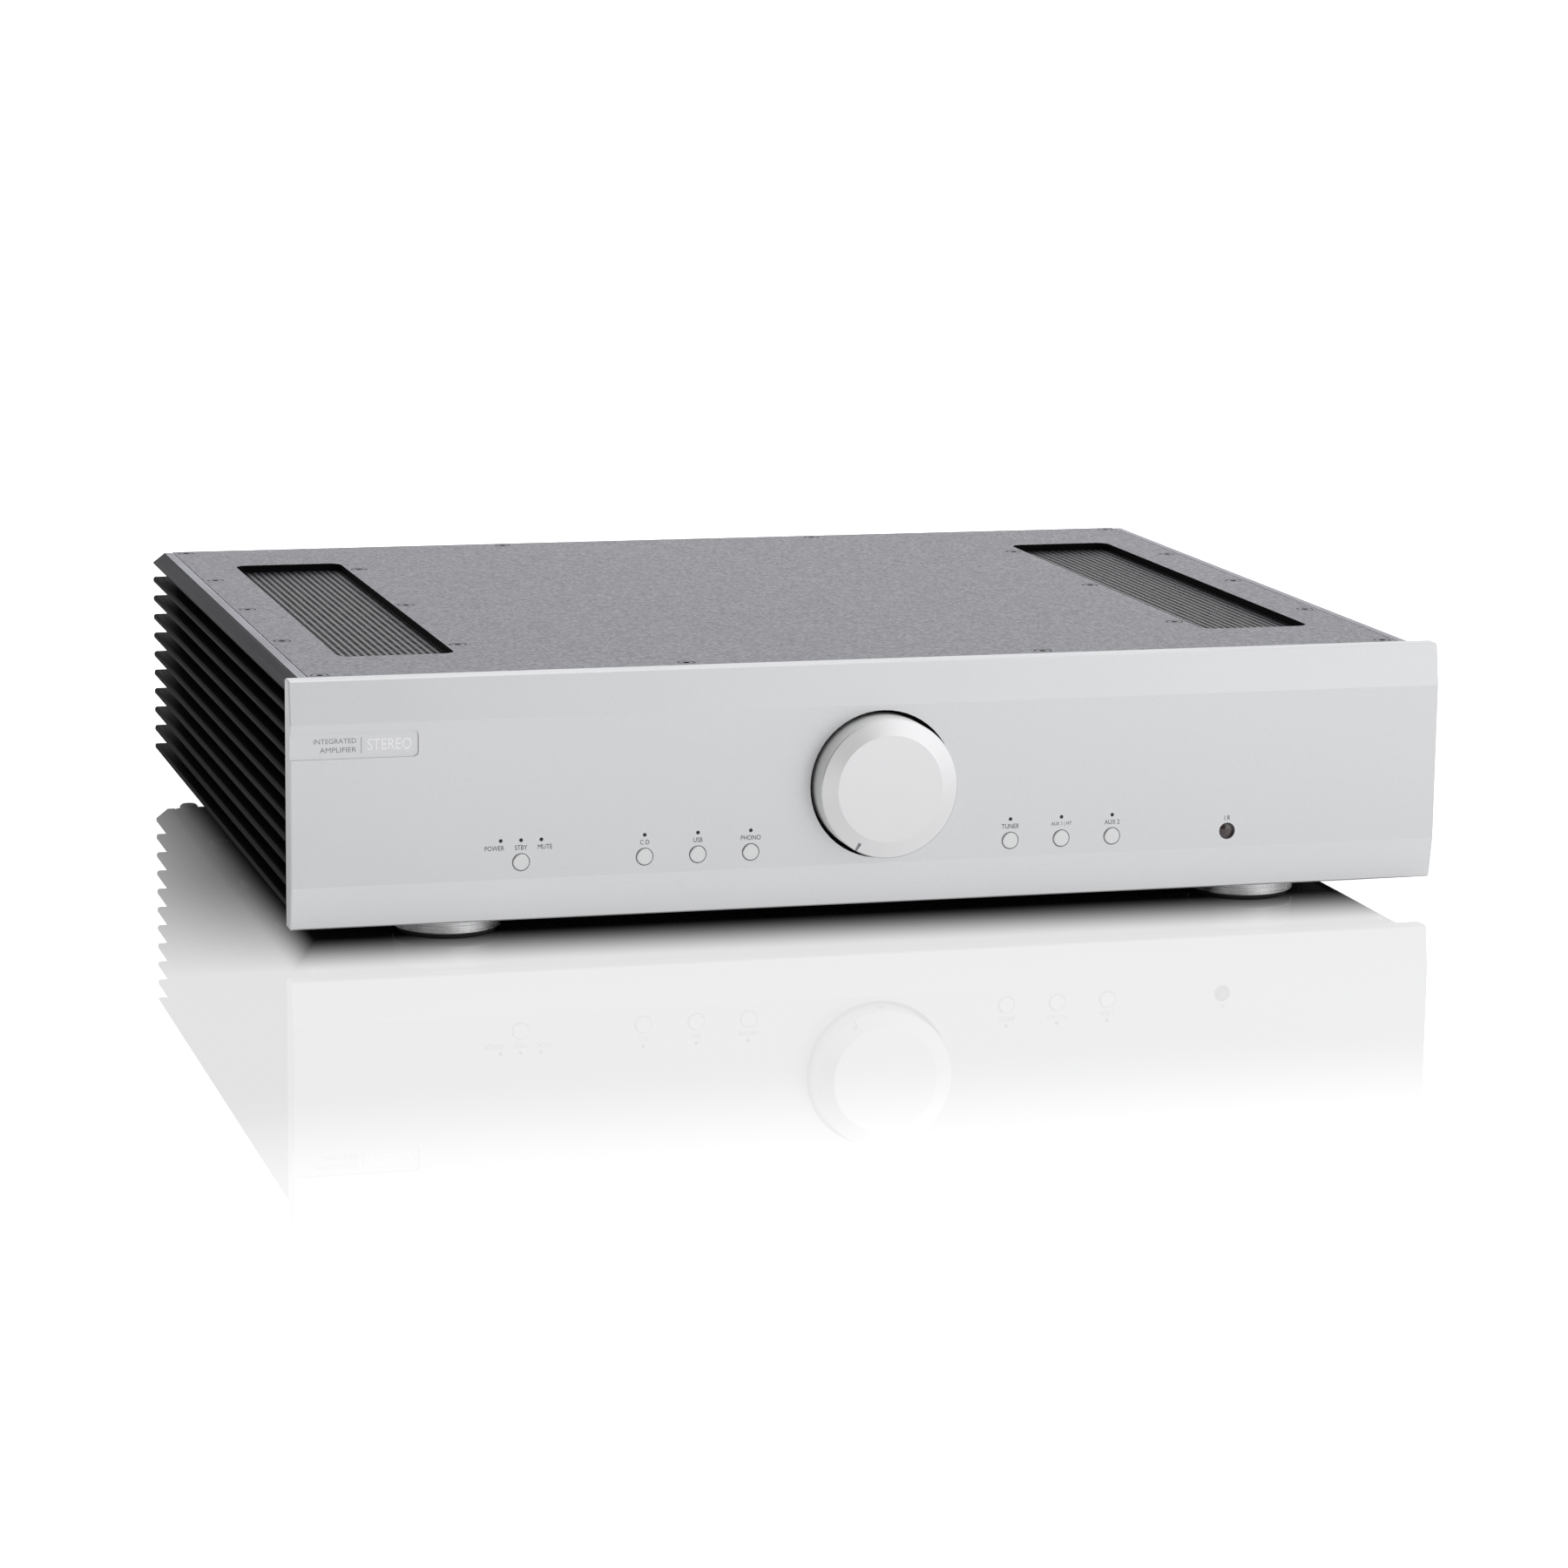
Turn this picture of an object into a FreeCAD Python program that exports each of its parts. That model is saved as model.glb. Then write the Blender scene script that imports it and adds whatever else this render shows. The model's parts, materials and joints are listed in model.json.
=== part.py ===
"""Full-width integrated amplifier, in millimetres.

Frame: +Z up, +X to the right as seen from the front, +Y to the back. The origin lies on the surface
the amplifier stands on, in the middle of its bounding box.
"""

import FreeCAD, Part
import math
import os
from FreeCAD import Vector

# ---- Overall size -----------------------------------------------------------------------------
WIDTH = 440.0
HEIGHT = 100.0
DEPTH = 381.0  # knob face to the ends of the speaker caps
FRONT_TO_FASCIA = 10.5  # how far the knob stands out of the fascia
FASCIA_THICKNESS = 10.0
CHASSIS_DEPTH = 333.0  # back of the fascia to the rear panel's outer face

Y_KNOB_FACE = -DEPTH / 2
Y_FASCIA = Y_KNOB_FACE + FRONT_TO_FASCIA
Y_CHASSIS = Y_FASCIA + FASCIA_THICKNESS
Y_REAR = Y_CHASSIS + CHASSIS_DEPTH
Y_CAP_END = DEPTH / 2

# ---- Fascia -----------------------------------------------------------------------------------
FASCIA_HEIGHT = 90.5
FACET_HEIGHT = 15.7  # the sloping band along the top and bottom edges
FACET_SETBACK = 2.65
FASCIA_CHAMFER = 0.5
Z_FASCIA = HEIGHT - FASCIA_HEIGHT
BADGE_LENGTH = 46.5
BADGE_Z = (71.7, 81.4)
BADGE_DEPTH = 0.5
BADGE_CORNER = 2.0
FASCIA_SCREWS = [(x, z) for x in (-175.0, 175.0) for z in (30.0, 80.0)] + [(-60.0, 80.0), (60.0, 80.0)]

# ---- Sheet metal ------------------------------------------------------------------------------
SHEET = 1.6
FLANGE = 17.0
Z_BASE = 11.5
Z_FLOOR = Z_BASE + SHEET
COVER_THICKNESS = 3.0
COVER_HALF_WIDTH = 210.2
COVER_GAP = 0.4  # gap between the cover or base and the lips of the heatsinks
REAR_HALF_WIDTH = 208.5
Z_COVER_TOP = HEIGHT - 1.4
Z_COVER = Z_COVER_TOP - COVER_THICKNESS

# ---- Heatsinks --------------------------------------------------------------------------------
SINK_INNER = 199.0
SINK_ROOT = 209.0
SINK_TIP = 218.7
LIP_OUTER = 213.8
LIP_DROP = 3.85  # how far a lip slopes from its flat to the line of the fins' tips
FIN_COUNT = 11
FIN_TOP_Z = 95.2
FIN_PITCH = 7.95
FIN_HALF = 1.35
TIP_RADIUS = 1.1

# ---- Vents ------------------------------------------------------------------------------------
VENT_X = (147.3, 191.1)
VENT_Y = -1.0
VENT_HALF_LENGTH = 118.6
VENT_CORNER = 5.0
MESH_X = (137.5, 197.0)
MESH_THICKNESS = 1.0
MESH_HALF_LENGTH = 126.0
BOSS_RADIUS = 3.2
BOSS_HEIGHT = 3.0

# ---- Screws -----------------------------------------------------------------------------------
COVER_HEAD = 3.1
COVER_HOLE = 3.35
COVER_SHANK = 1.7
COVER_TAPPED = 1.75
COVER_SINK_DEPTH = 1.5
CASE_SHANK = 2.0
CASE_TAPPED = 2.05
CASE_HEAD = 3.8
CASE_HEAD_HEIGHT = 2.4
SIDE_SCREW_X = 205.3
SIDE_SCREW_Y = [-158.5 + 79.0 * i for i in range(5)]
VENT_SCREW_X = 142.5
VENT_SCREW_Y = [VENT_Y + y for y in (-99.2, 0.0, 99.2)]
EDGE_SCREW_X = 69.0
EDGE_SCREW_Y = (-157.0, 157.0)
BRACKET_SCREW_Y = Y_CHASSIS + 10.0
BRACKET_SCREW_Z = (35.0, 75.0)
BASE_EDGE_X = (-100.0, 100.0)
BASE_EDGE_Y = (Y_CHASSIS + 9.0, Y_REAR - 10.0)
SINK_END_X = 204.0
SINK_END_Z = (28.0, 80.0)

# ---- Volume control ---------------------------------------------------------------------------
KNOB_Z = Z_FASCIA + FASCIA_HEIGHT / 2
KNOB_RADIUS = 26.0
KNOB_FLAT_RADIUS = 19.9
KNOB_BEVEL_DROP = 0.9
KNOB_EDGE = 0.3
WELL_RADIUS = 27.6
WELL_DEPTH = 7.0
KNOB_BACK_GAP = 1.0
NOTCH_TURN = 210.0  # degrees clockwise from straight up: the stop at seven o'clock
SHAFT_RADIUS = 3.0
RUNNING_GAP = 0.05
BUSH_RADIUS = 3.5
POT_SIDE = 26.0
POT_DEPTH = 27.0

# ---- Buttons, indicators, remote window -------------------------------------------------------
BUTTON_Z = 31.4
INDICATOR_Z = 39.5
STANDBY_X = -136.0
INPUT_X = {"cd": -90.0, "usb": -70.0, "phono": -50.0, "tuner": 50.0, "aux1": 70.0, "aux2": 90.0}
INDICATOR_X = [STANDBY_X - 7.5, STANDBY_X, STANDBY_X + 7.5] + list(INPUT_X.values())
REMOTE_X = 136.0
BUTTON_RADIUS = 3.05
BUTTON_HOLE = 3.3
BUTTON_PROUD = 0.5
BUTTON_FLANGE = 4.0
STEM_RADIUS = 1.5
TACT_BORE = 1.65
TACT_SIDE = 6.0
TACT_DEPTH = 4.3
COUNTERBORE = 4.6
COUNTERBORE_Y = Y_FASCIA + 4.0
PIPE_NOSE = 0.6
PIPE_HOLE = 0.7
PIPE_RADIUS = 1.5
WINDOW_RADIUS = 3.05
WINDOW_HOLE = 3.15

# ---- Boards -----------------------------------------------------------------------------------
BOARD = 1.6
FRONT_BOARD_Y = Y_CHASSIS + 10.0
BOARD_Z = 21.0
AMP_BOARD_X = (128.0, 196.4)
AMP_BOARD_HALF = 120.0
POWER_BOARD = (-62.0, 62.0, 48.0, 132.0)
PREAMP_BOARD_Y = Y_REAR - 16.0
PREAMP_BOARD = (34.0, 190.0, 26.0, 88.0)

# ---- Transformer ------------------------------------------------------------------------------
TOROID_Y = -35.0
TOROID_OUTER = 62.0
TOROID_INNER = 18.0
TOROID_HEIGHT = 54.0
TOROID_ROUND = 12.0
PAD = 2.0
Z_TOROID = Z_FLOOR + PAD
Z_TOROID_TOP = Z_TOROID + TOROID_HEIGHT

# ---- Feet -------------------------------------------------------------------------------------
FOOT_RADIUS = 20.0
FOOT_X = 156.0
FOOT_Y = (-144.0, 136.0)
FOOT_SCREW_SEAT = 7.0
PAD_HEIGHT = 3.4
PAD_RADIUS = 18.2
PAD_HOLE = 5.0
Z_FOOT = 2.0

# ---- Rear connectors --------------------------------------------------------------------------
RCA_X = [60.0 + 20.0 * i for i in range(7)]
RCA_Z = (38.0, 62.0)
SPEAKER_X = (-74.5, -55.5, -19.5, -0.5)
SPEAKER_Z = 52.0
SOCKET_Z = 46.0
INLET_X = -145.0
ROCKER_X = -118.0
USB_X = 38.0
USB_Z = 74.0
GROUND_X = 180.0
GROUND_Z = 80.0
STUD_RADIUS = 3.5
BANANA_RADIUS = 2.05
CAP_RADIUS = 7.5
WASHER_Y = Y_REAR + 4.4
CAP_Y = Y_REAR + 6.3
CAP_FLUTES = 18
ROCKER_TILT = 12.0


# ---- Shape helpers ----------------------------------------------------------------------------
def block(x, y, z):
    """A box from three (low, high) pairs."""
    return Part.makeBox(x[1] - x[0], y[1] - y[0], z[1] - z[0], Vector(x[0], y[0], z[0]))


def rod_x(y, z, radius, x):
    return Part.makeCylinder(radius, x[1] - x[0], Vector(x[0], y, z), Vector(1, 0, 0))


def rod_y(x, z, radius, y):
    return Part.makeCylinder(radius, y[1] - y[0], Vector(x, y[0], z), Vector(0, 1, 0))


def rod_z(x, y, radius, z):
    return Part.makeCylinder(radius, z[1] - z[0], Vector(x, y, z[0]), Vector(0, 0, 1))


def prism(points, direction):
    """A closed outline of straight sides, pushed along a direction."""
    face = Part.Face(Part.makePolygon(points + [points[0]]))
    return face.extrude(direction)


def turned(profile, centre, axis):
    """A solid of revolution: profile is a closed list of points that hold centre's plane."""
    face = Part.Face(Part.makePolygon(profile + [profile[0]]))
    return face.revolve(centre, axis, 360)


def turned_y(x, z, profile):
    """Turned about an axis along Y; profile lists (radius, y)."""
    points = [Vector(x + r, y, z) for r, y in profile]
    return turned(points, Vector(x, 0, z), Vector(0, 1, 0))


def turned_z(x, y, profile):
    """Turned about an axis along Z; profile lists (radius, z)."""
    points = [Vector(x + r, y, z) for r, z in profile]
    return turned(points, Vector(x, y, 0), Vector(0, 0, 1))


def rounded_plate(x, y, z, radius):
    """A flat plate with its four upright corners rounded."""
    plate = block(x, y, z)
    upright = [e for e in plate.Edges if abs(e.tangentAt(e.FirstParameter).z) > 0.9]
    return plate.makeFillet(radius, upright)


def rounded_plate_y(x, y, z, radius):
    """A plate facing along Y with rounded corners."""
    plate = block(x, y, z)
    across = [e for e in plate.Edges if abs(e.tangentAt(e.FirstParameter).y) > 0.9]
    return plate.makeFillet(radius, across)


def mirrored(shape):
    """The shape's twin on the other side, across X = 0."""
    return shape.mirror(Vector(0, 0, 0), Vector(1, 0, 0))


def joined(shapes):
    """One solid out of several that touch or overlap."""
    return shapes[0].multiFuse(shapes[1:]).removeSplitter()


def without(shape, tools):
    return shape.cut(Part.makeCompound(tools))


def group(shapes):
    """Separate solids kept in one node."""
    return Part.makeCompound(shapes)


def save(name, shape):
    bad = [s for s in shape.Solids if not s.isValid()]
    if bad or not shape.Solids:
        raise ValueError(name + " is not a valid solid")
    shape.exportStep("parts/" + name + ".step")


# ---- Fascia and what shows in it --------------------------------------------------------------
def badge_recess():
    """The shallow milled strip that runs in from the left end."""
    x = (-WIDTH / 2 - BADGE_CORNER * 2, -WIDTH / 2 + BADGE_LENGTH)
    recess = block(x, (Y_FASCIA - 1, Y_FASCIA + BADGE_DEPTH), BADGE_Z)
    ends = [
        e for e in recess.Edges
        if abs(e.tangentAt(e.FirstParameter).y) > 0.9 and e.CenterOfMass.x > x[0] + 1
    ]
    return recess.makeFillet(BADGE_CORNER, ends)


def fascia_blank():
    """The faceted bar with its outer edges broken."""
    low = Z_FASCIA
    high = HEIGHT
    back = Y_FASCIA + FACET_SETBACK
    outline = [
        (Y_CHASSIS, low), (back, low), (Y_FASCIA, low + FACET_HEIGHT),
        (Y_FASCIA, high - FACET_HEIGHT), (back, high), (Y_CHASSIS, high),
    ]
    bar = prism([Vector(-WIDTH / 2, y, z) for y, z in outline], Vector(WIDTH, 0, 0))
    centres = [(e, e.CenterOfMass) for e in bar.Edges]
    ends = [e for e, c in centres if abs(abs(c.x) - WIDTH / 2) < 0.01]
    middle = (low + high) / 2
    edge_reach = FASCIA_HEIGHT / 2
    long_edges = [e for e, c in centres if abs(c.x) < 0.01 and abs(abs(c.z - middle) - edge_reach) < 0.01]
    return bar.makeChamfer(FASCIA_CHAMFER, ends + long_edges)


def front_panel():
    holes = [
        rod_y(0, KNOB_Z, WELL_RADIUS, (Y_FASCIA - 1, Y_FASCIA + WELL_DEPTH)),
        rod_y(0, KNOB_Z, 7.4, (Y_FASCIA, Y_CHASSIS + 1)),
        badge_recess(),
    ]
    for x in [STANDBY_X] + list(INPUT_X.values()):
        holes.append(rod_y(x, BUTTON_Z, BUTTON_HOLE, (Y_FASCIA - 1, Y_CHASSIS)))
        holes.append(rod_y(x, BUTTON_Z, COUNTERBORE, (COUNTERBORE_Y, Y_CHASSIS + 1)))
    for x in INDICATOR_X:
        holes.append(rod_y(x, INDICATOR_Z, PIPE_HOLE, (Y_FASCIA - 1, Y_CHASSIS)))
        holes.append(rod_y(x, INDICATOR_Z, PIPE_RADIUS + 0.1, (Y_FASCIA + 2, Y_CHASSIS + 1)))
    holes.append(rod_y(REMOTE_X, BUTTON_Z, WINDOW_HOLE, (Y_FASCIA - 1, Y_CHASSIS)))
    holes.append(rod_y(REMOTE_X, BUTTON_Z, COUNTERBORE, (COUNTERBORE_Y, Y_CHASSIS + 1)))
    for x, z in FASCIA_SCREWS:
        holes.append(rod_y(x, z, CASE_TAPPED, (Y_CHASSIS - 7.5, Y_CHASSIS + 1)))
    return without(fascia_blank(), holes)


def ir_window():
    """A domed dark lens with a flange behind the fascia."""
    lens = rod_y(REMOTE_X, BUTTON_Z, WINDOW_RADIUS, (Y_FASCIA + 1.0, COUNTERBORE_Y + 0.2))
    flange = rod_y(REMOTE_X, BUTTON_Z, COUNTERBORE - 0.2, (COUNTERBORE_Y, COUNTERBORE_Y + 1.2))
    dome_radius = 6.0
    dome = Part.makeSphere(dome_radius, Vector(REMOTE_X, Y_FASCIA + 0.3 + dome_radius, BUTTON_Z))
    nose = rod_y(REMOTE_X, BUTTON_Z, WINDOW_RADIUS, (Y_FASCIA, Y_FASCIA + 1.2)).common(dome)
    return joined([lens, nose, flange])


def ir_receiver():
    return block((REMOTE_X - 3.5, REMOTE_X + 3.5), (FRONT_BOARD_Y - 6.0, FRONT_BOARD_Y), (27.9, 34.9))


def light_pipes():
    pipes = []
    for x in INDICATOR_X:
        body = rod_y(x, INDICATOR_Z, PIPE_RADIUS, (Y_FASCIA + 2.1, FRONT_BOARD_Y))
        nose = rod_y(x, INDICATOR_Z, PIPE_NOSE, (Y_FASCIA + 0.2, Y_FASCIA + 2.2))
        pipes.append(joined([body, nose]))
    return group(pipes)


def push_button(x):
    """A flat cap with a broken edge, its retaining flange and the stem that enters the switch."""
    face = Y_FASCIA - BUTTON_PROUD
    edge = 0.35
    shoulder = COUNTERBORE_Y + 0.15
    stem_end = FRONT_BOARD_Y - TACT_DEPTH + 1.0
    return turned_y(x, BUTTON_Z, [
        (0, face), (BUTTON_RADIUS - edge, face), (BUTTON_RADIUS, face + edge),
        (BUTTON_RADIUS, shoulder), (BUTTON_FLANGE, shoulder), (BUTTON_FLANGE, shoulder + 1.4),
        (STEM_RADIUS, shoulder + 1.4), (STEM_RADIUS, stem_end), (0, stem_end),
    ])


def tact_switches():
    """Square switch bodies; each takes the end of a button's stem."""
    half = TACT_SIDE / 2
    switches = []
    for x in [STANDBY_X] + list(INPUT_X.values()):
        body = block(
            (x - half, x + half), (FRONT_BOARD_Y - TACT_DEPTH, FRONT_BOARD_Y),
            (BUTTON_Z - half, BUTTON_Z + half),
        )
        bore = rod_y(x, BUTTON_Z, TACT_BORE, (FRONT_BOARD_Y - TACT_DEPTH - 1, FRONT_BOARD_Y - 1.4))
        switches.append(body.cut(bore))
    return group(switches)


def front_board():
    board = block((-150, 150), (FRONT_BOARD_Y, FRONT_BOARD_Y + BOARD), (20.5, 48.5))
    side = POT_SIDE / 2 + 1.5
    notch = block((-side, side), (FRONT_BOARD_Y - 1, FRONT_BOARD_Y + BOARD + 1), (39.0, 50.0))
    return board.cut(notch)


# ---- Volume control ---------------------------------------------------------------------------
def about_knob(shape, degrees):
    """Turned clockwise, as seen from the front, about the knob's axis."""
    copy = shape.copy()
    copy.rotate(Vector(0, 0, KNOB_Z), Vector(0, 1, 0), degrees)
    return copy


def volume_knob():
    """Flat face, shallow bevel, index notch in the rim, blind bore for the shaft."""
    rim = Y_KNOB_FACE + KNOB_BEVEL_DROP
    back = Y_FASCIA + WELL_DEPTH - KNOB_BACK_GAP
    body = turned_y(0, KNOB_Z, [
        (0, Y_KNOB_FACE), (KNOB_FLAT_RADIUS, Y_KNOB_FACE), (KNOB_RADIUS - KNOB_EDGE, rim),
        (KNOB_RADIUS, rim + KNOB_EDGE), (KNOB_RADIUS, back), (0, back),
    ])
    notch = prism([
        Vector(-1.1, rim - 1.0, KNOB_Z + 22.8), Vector(1.1, rim - 1.0, KNOB_Z + 22.8),
        Vector(0.25, rim + 1.3, KNOB_Z + 22.8), Vector(-0.25, rim + 1.3, KNOB_Z + 22.8),
    ], Vector(0, 0, 5))
    bore = rod_y(0, KNOB_Z, SHAFT_RADIUS, (back - 13.0, back + 1))
    screw_hole = rod_z(0, Y_FASCIA - 3.5, 1.55, (KNOB_Z, KNOB_Z + KNOB_RADIUS + 1))
    return without(body, [about_knob(notch, NOTCH_TURN), bore, about_knob(screw_hole, 180)])


def hexagon_z(x, y, z, across_flats, height):
    """A hexagonal prism standing on z."""
    corner = across_flats / math.sqrt(3)
    angles = [math.radians(60 * i + 30) for i in range(6)]
    points = [Vector(x + corner * math.cos(a), y + corner * math.sin(a), z) for a in angles]
    return prism(points, Vector(0, 0, height))


def knob_setscrew():
    """A socket set screw below the shaft, reached from under the knob."""
    base = KNOB_Z + SHAFT_RADIUS
    screw = rod_z(0, Y_FASCIA - 3.5, 1.5, (base, base + 6))
    socket = hexagon_z(0, Y_FASCIA - 3.5, base + 4, 1.5, 3)
    return about_knob(screw.cut(socket), 180)


def volume_shaft():
    back = Y_FASCIA + WELL_DEPTH - KNOB_BACK_GAP
    return rod_y(0, KNOB_Z, SHAFT_RADIUS, (back - 13.0, Y_CHASSIS + 16.0))


def volume_pot():
    """The square potentiometer behind the bracket, with its bush through the bracket."""
    half = POT_SIDE / 2
    front = Y_CHASSIS + SHEET
    body = block((-half, half), (front, front + POT_DEPTH), (KNOB_Z - half, KNOB_Z + half))
    body = body.makeChamfer(1.0, [e for e in body.Edges if abs(e.tangentAt(e.FirstParameter).y) > 0.9])
    bush = rod_y(0, KNOB_Z, BUSH_RADIUS, (Y_CHASSIS - 2.6, front))
    bore = rod_y(0, KNOB_Z, SHAFT_RADIUS + RUNNING_GAP, (Y_CHASSIS - 4, Y_CHASSIS + 17.0))
    return joined([body, bush]).cut(bore)


def pot_nut():
    nut = hexagon_z(0, 0, 0, 10.0, 2.0)
    nut.rotate(Vector(0, 0, 0), Vector(1, 0, 0), -90)
    nut.translate(Vector(0, Y_CHASSIS - 2.0, KNOB_Z))
    return nut.cut(rod_y(0, KNOB_Z, BUSH_RADIUS, (Y_CHASSIS - 4, Y_CHASSIS + 1)))


def volume_motor():
    """The motor that turns the control for the remote: can, end boss and two terminals."""
    front = Y_CHASSIS + SHEET + POT_DEPTH
    can = rod_y(0, KNOB_Z, 11.5, (front, front + 24.0))
    boss = rod_y(0, KNOB_Z, 4.0, (front + 24.0, front + 26.0))
    terminal_y = (front + 23.5, front + 28.0)
    terminals = [block((x - 1, x + 1), terminal_y, (KNOB_Z + 6, KNOB_Z + 6.5)) for x in (-5, 5)]
    return joined([can, boss] + terminals)


# ---- Case -------------------------------------------------------------------------------------
def front_bracket():
    """The steel channel behind the fascia that carries the controls and ties both heatsinks."""
    web = block((-SINK_INNER, SINK_INNER), (Y_CHASSIS, Y_CHASSIS + SHEET), (Z_FLOOR, Z_COVER))
    y = (Y_CHASSIS, Y_CHASSIS + FLANGE)
    top = block((-SINK_INNER, SINK_INNER), y, (Z_COVER - SHEET, Z_COVER))
    bottom = block((-SINK_INNER, SINK_INNER), y, (Z_FLOOR, Z_FLOOR + SHEET))
    left = block((-SINK_INNER, -SINK_INNER + SHEET), y, (Z_FLOOR, Z_COVER))
    shape = joined([web, top, bottom, left, mirrored(left)])
    boss_y = EDGE_SCREW_Y[0]
    boss_z = (Z_COVER - 5, Z_COVER - 1)
    bosses = [rod_z(x, boss_y, BOSS_RADIUS, boss_z) for x in (-EDGE_SCREW_X, EDGE_SCREW_X)]
    shape = joined([shape] + bosses)
    holes = [
        block((-147, 147), (Y_CHASSIS - 1, Y_CHASSIS + SHEET + 1), (26.2, 42.8)),
        rod_y(0, KNOB_Z, BUSH_RADIUS, (Y_CHASSIS - 1, Y_CHASSIS + SHEET + 1)),
    ]
    for x in (-EDGE_SCREW_X, EDGE_SCREW_X):
        holes.append(rod_z(x, boss_y, COVER_TAPPED, (Z_COVER - 6, Z_COVER + 1)))
    for x, z in FASCIA_SCREWS:
        holes.append(rod_y(x, z, CASE_TAPPED, (Y_CHASSIS - 1, Y_CHASSIS + SHEET + 1)))
    for z in BRACKET_SCREW_Z:
        holes.append(rod_x(BRACKET_SCREW_Y, z, CASE_TAPPED, (-SINK_INNER - 1, SINK_INNER + 1)))
    for x in BASE_EDGE_X:
        holes.append(rod_z(x, BASE_EDGE_Y[0], CASE_TAPPED, (Z_FLOOR - 1, Z_FLOOR + SHEET + 1)))
    return without(shape, holes)


def base_slots():
    """Two rows of cooling slots through the base, under each amplifier board."""
    slots = []
    for side in (-1, 1):
        for i in range(16):
            y = -90.0 + 12.0 * i
            slot = block((-20, 20), (y - 2, y + 2), (Z_BASE - 1, Z_FLOOR + 1))
            slot.translate(Vector(side * 165.0, 0, 0))
            slots.append(slot)
    return slots


def chassis_base():
    plate = block((-COVER_HALF_WIDTH, COVER_HALF_WIDTH), (Y_CHASSIS, Y_REAR - SHEET), (Z_BASE, Z_FLOOR))
    z = (Z_BASE - 1, Z_FLOOR + 1)
    holes = base_slots()
    holes.append(rod_z(0, TOROID_Y, 4.0, z))
    for x in (-SIDE_SCREW_X, SIDE_SCREW_X):
        holes.extend(rod_z(x, y, CASE_TAPPED, z) for y in SIDE_SCREW_Y)
    for x in BASE_EDGE_X:
        holes.extend(rod_z(x, y, CASE_TAPPED, z) for y in BASE_EDGE_Y)
    for x in (-FOOT_X, FOOT_X):
        holes.extend(rod_z(x, y, CASE_TAPPED, z) for y in FOOT_Y)
    return without(plate, holes)


def heatsink_lip(y, length):
    """The upper edge of the wall: a flat beside the cover, then a slope out to the fins' tips."""
    inner = COVER_HALF_WIDTH + COVER_GAP
    under = FIN_TOP_Z - FIN_HALF
    tip = Z_COVER_TOP - LIP_DROP
    outline = [
        (SINK_ROOT - 1, under), (SINK_TIP - 0.4, under), (SINK_TIP, under + 0.4), (SINK_TIP, tip),
        (LIP_OUTER, Z_COVER_TOP), (inner, Z_COVER_TOP), (inner, Z_COVER), (SINK_ROOT - 1, Z_COVER),
    ]
    return prism([Vector(x, y, z) for x, z in outline], Vector(0, length, 0))


def heatsink_foot(y, length):
    """The lower edge of the wall, which mirrors the lip."""
    inner = COVER_HALF_WIDTH + COVER_GAP
    over = FIN_TOP_Z - FIN_PITCH * (FIN_COUNT - 1) + FIN_HALF
    tip = Z_BASE + LIP_DROP
    outline = [
        (SINK_ROOT - 1, over), (SINK_TIP - 0.4, over), (SINK_TIP, over - 0.4), (SINK_TIP, tip),
        (LIP_OUTER, Z_BASE), (inner, Z_BASE), (inner, Z_FLOOR), (SINK_ROOT - 1, Z_FLOOR),
    ]
    return prism([Vector(x, y, z) for x, z in outline], Vector(0, length, 0))


def heatsink_fin(y, z):
    """One fin with its two outer edges rounded."""
    fin = block((SINK_ROOT - 1, SINK_TIP), y, (z - FIN_HALF, z + FIN_HALF))
    tip = [e for e in fin.Edges if abs(e.CenterOfMass.x - SINK_TIP) < 0.01 and abs(e.tangentAt(0).y) > 0.9]
    return fin.makeFillet(TIP_RADIUS, tip)


def heatsink_right():
    """Extruded wall: base plate, a lip beside the cover, another beside the base, and fins between."""
    y = (Y_CHASSIS, Y_REAR - SHEET)
    length = y[1] - y[0]
    plate = block((SINK_INNER, SINK_ROOT), y, (Z_FLOOR, Z_COVER))
    fins = [heatsink_fin(y, FIN_TOP_Z - FIN_PITCH * i) for i in range(1, FIN_COUNT - 1)]
    shape = joined([plate, heatsink_lip(y[0], length), heatsink_foot(y[0], length)] + fins)
    holes = [rod_z(SIDE_SCREW_X, hole_y, COVER_TAPPED, (Z_COVER - 9, Z_COVER + 1)) for hole_y in SIDE_SCREW_Y]
    holes += [rod_z(SIDE_SCREW_X, hole_y, CASE_TAPPED, (Z_FLOOR - 1, Z_FLOOR + 8)) for hole_y in SIDE_SCREW_Y]
    for z in SINK_END_Z:
        holes.append(rod_y(SINK_END_X, z, CASE_TAPPED, (y[1] - 9, y[1] + 1)))
    for z in BRACKET_SCREW_Z:
        holes.append(rod_x(BRACKET_SCREW_Y, z, CASE_TAPPED, (SINK_INNER - 1, SINK_INNER + 8)))
    return without(shape, holes)


def cover_holes():
    """Countersunk holes as one list of (x, y)."""
    places = []
    for side in (-1, 1):
        places += [(side * SIDE_SCREW_X, y) for y in SIDE_SCREW_Y]
        places += [(side * VENT_SCREW_X, y) for y in VENT_SCREW_Y]
        places += [(side * EDGE_SCREW_X, y) for y in EDGE_SCREW_Y]
    return places


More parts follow.
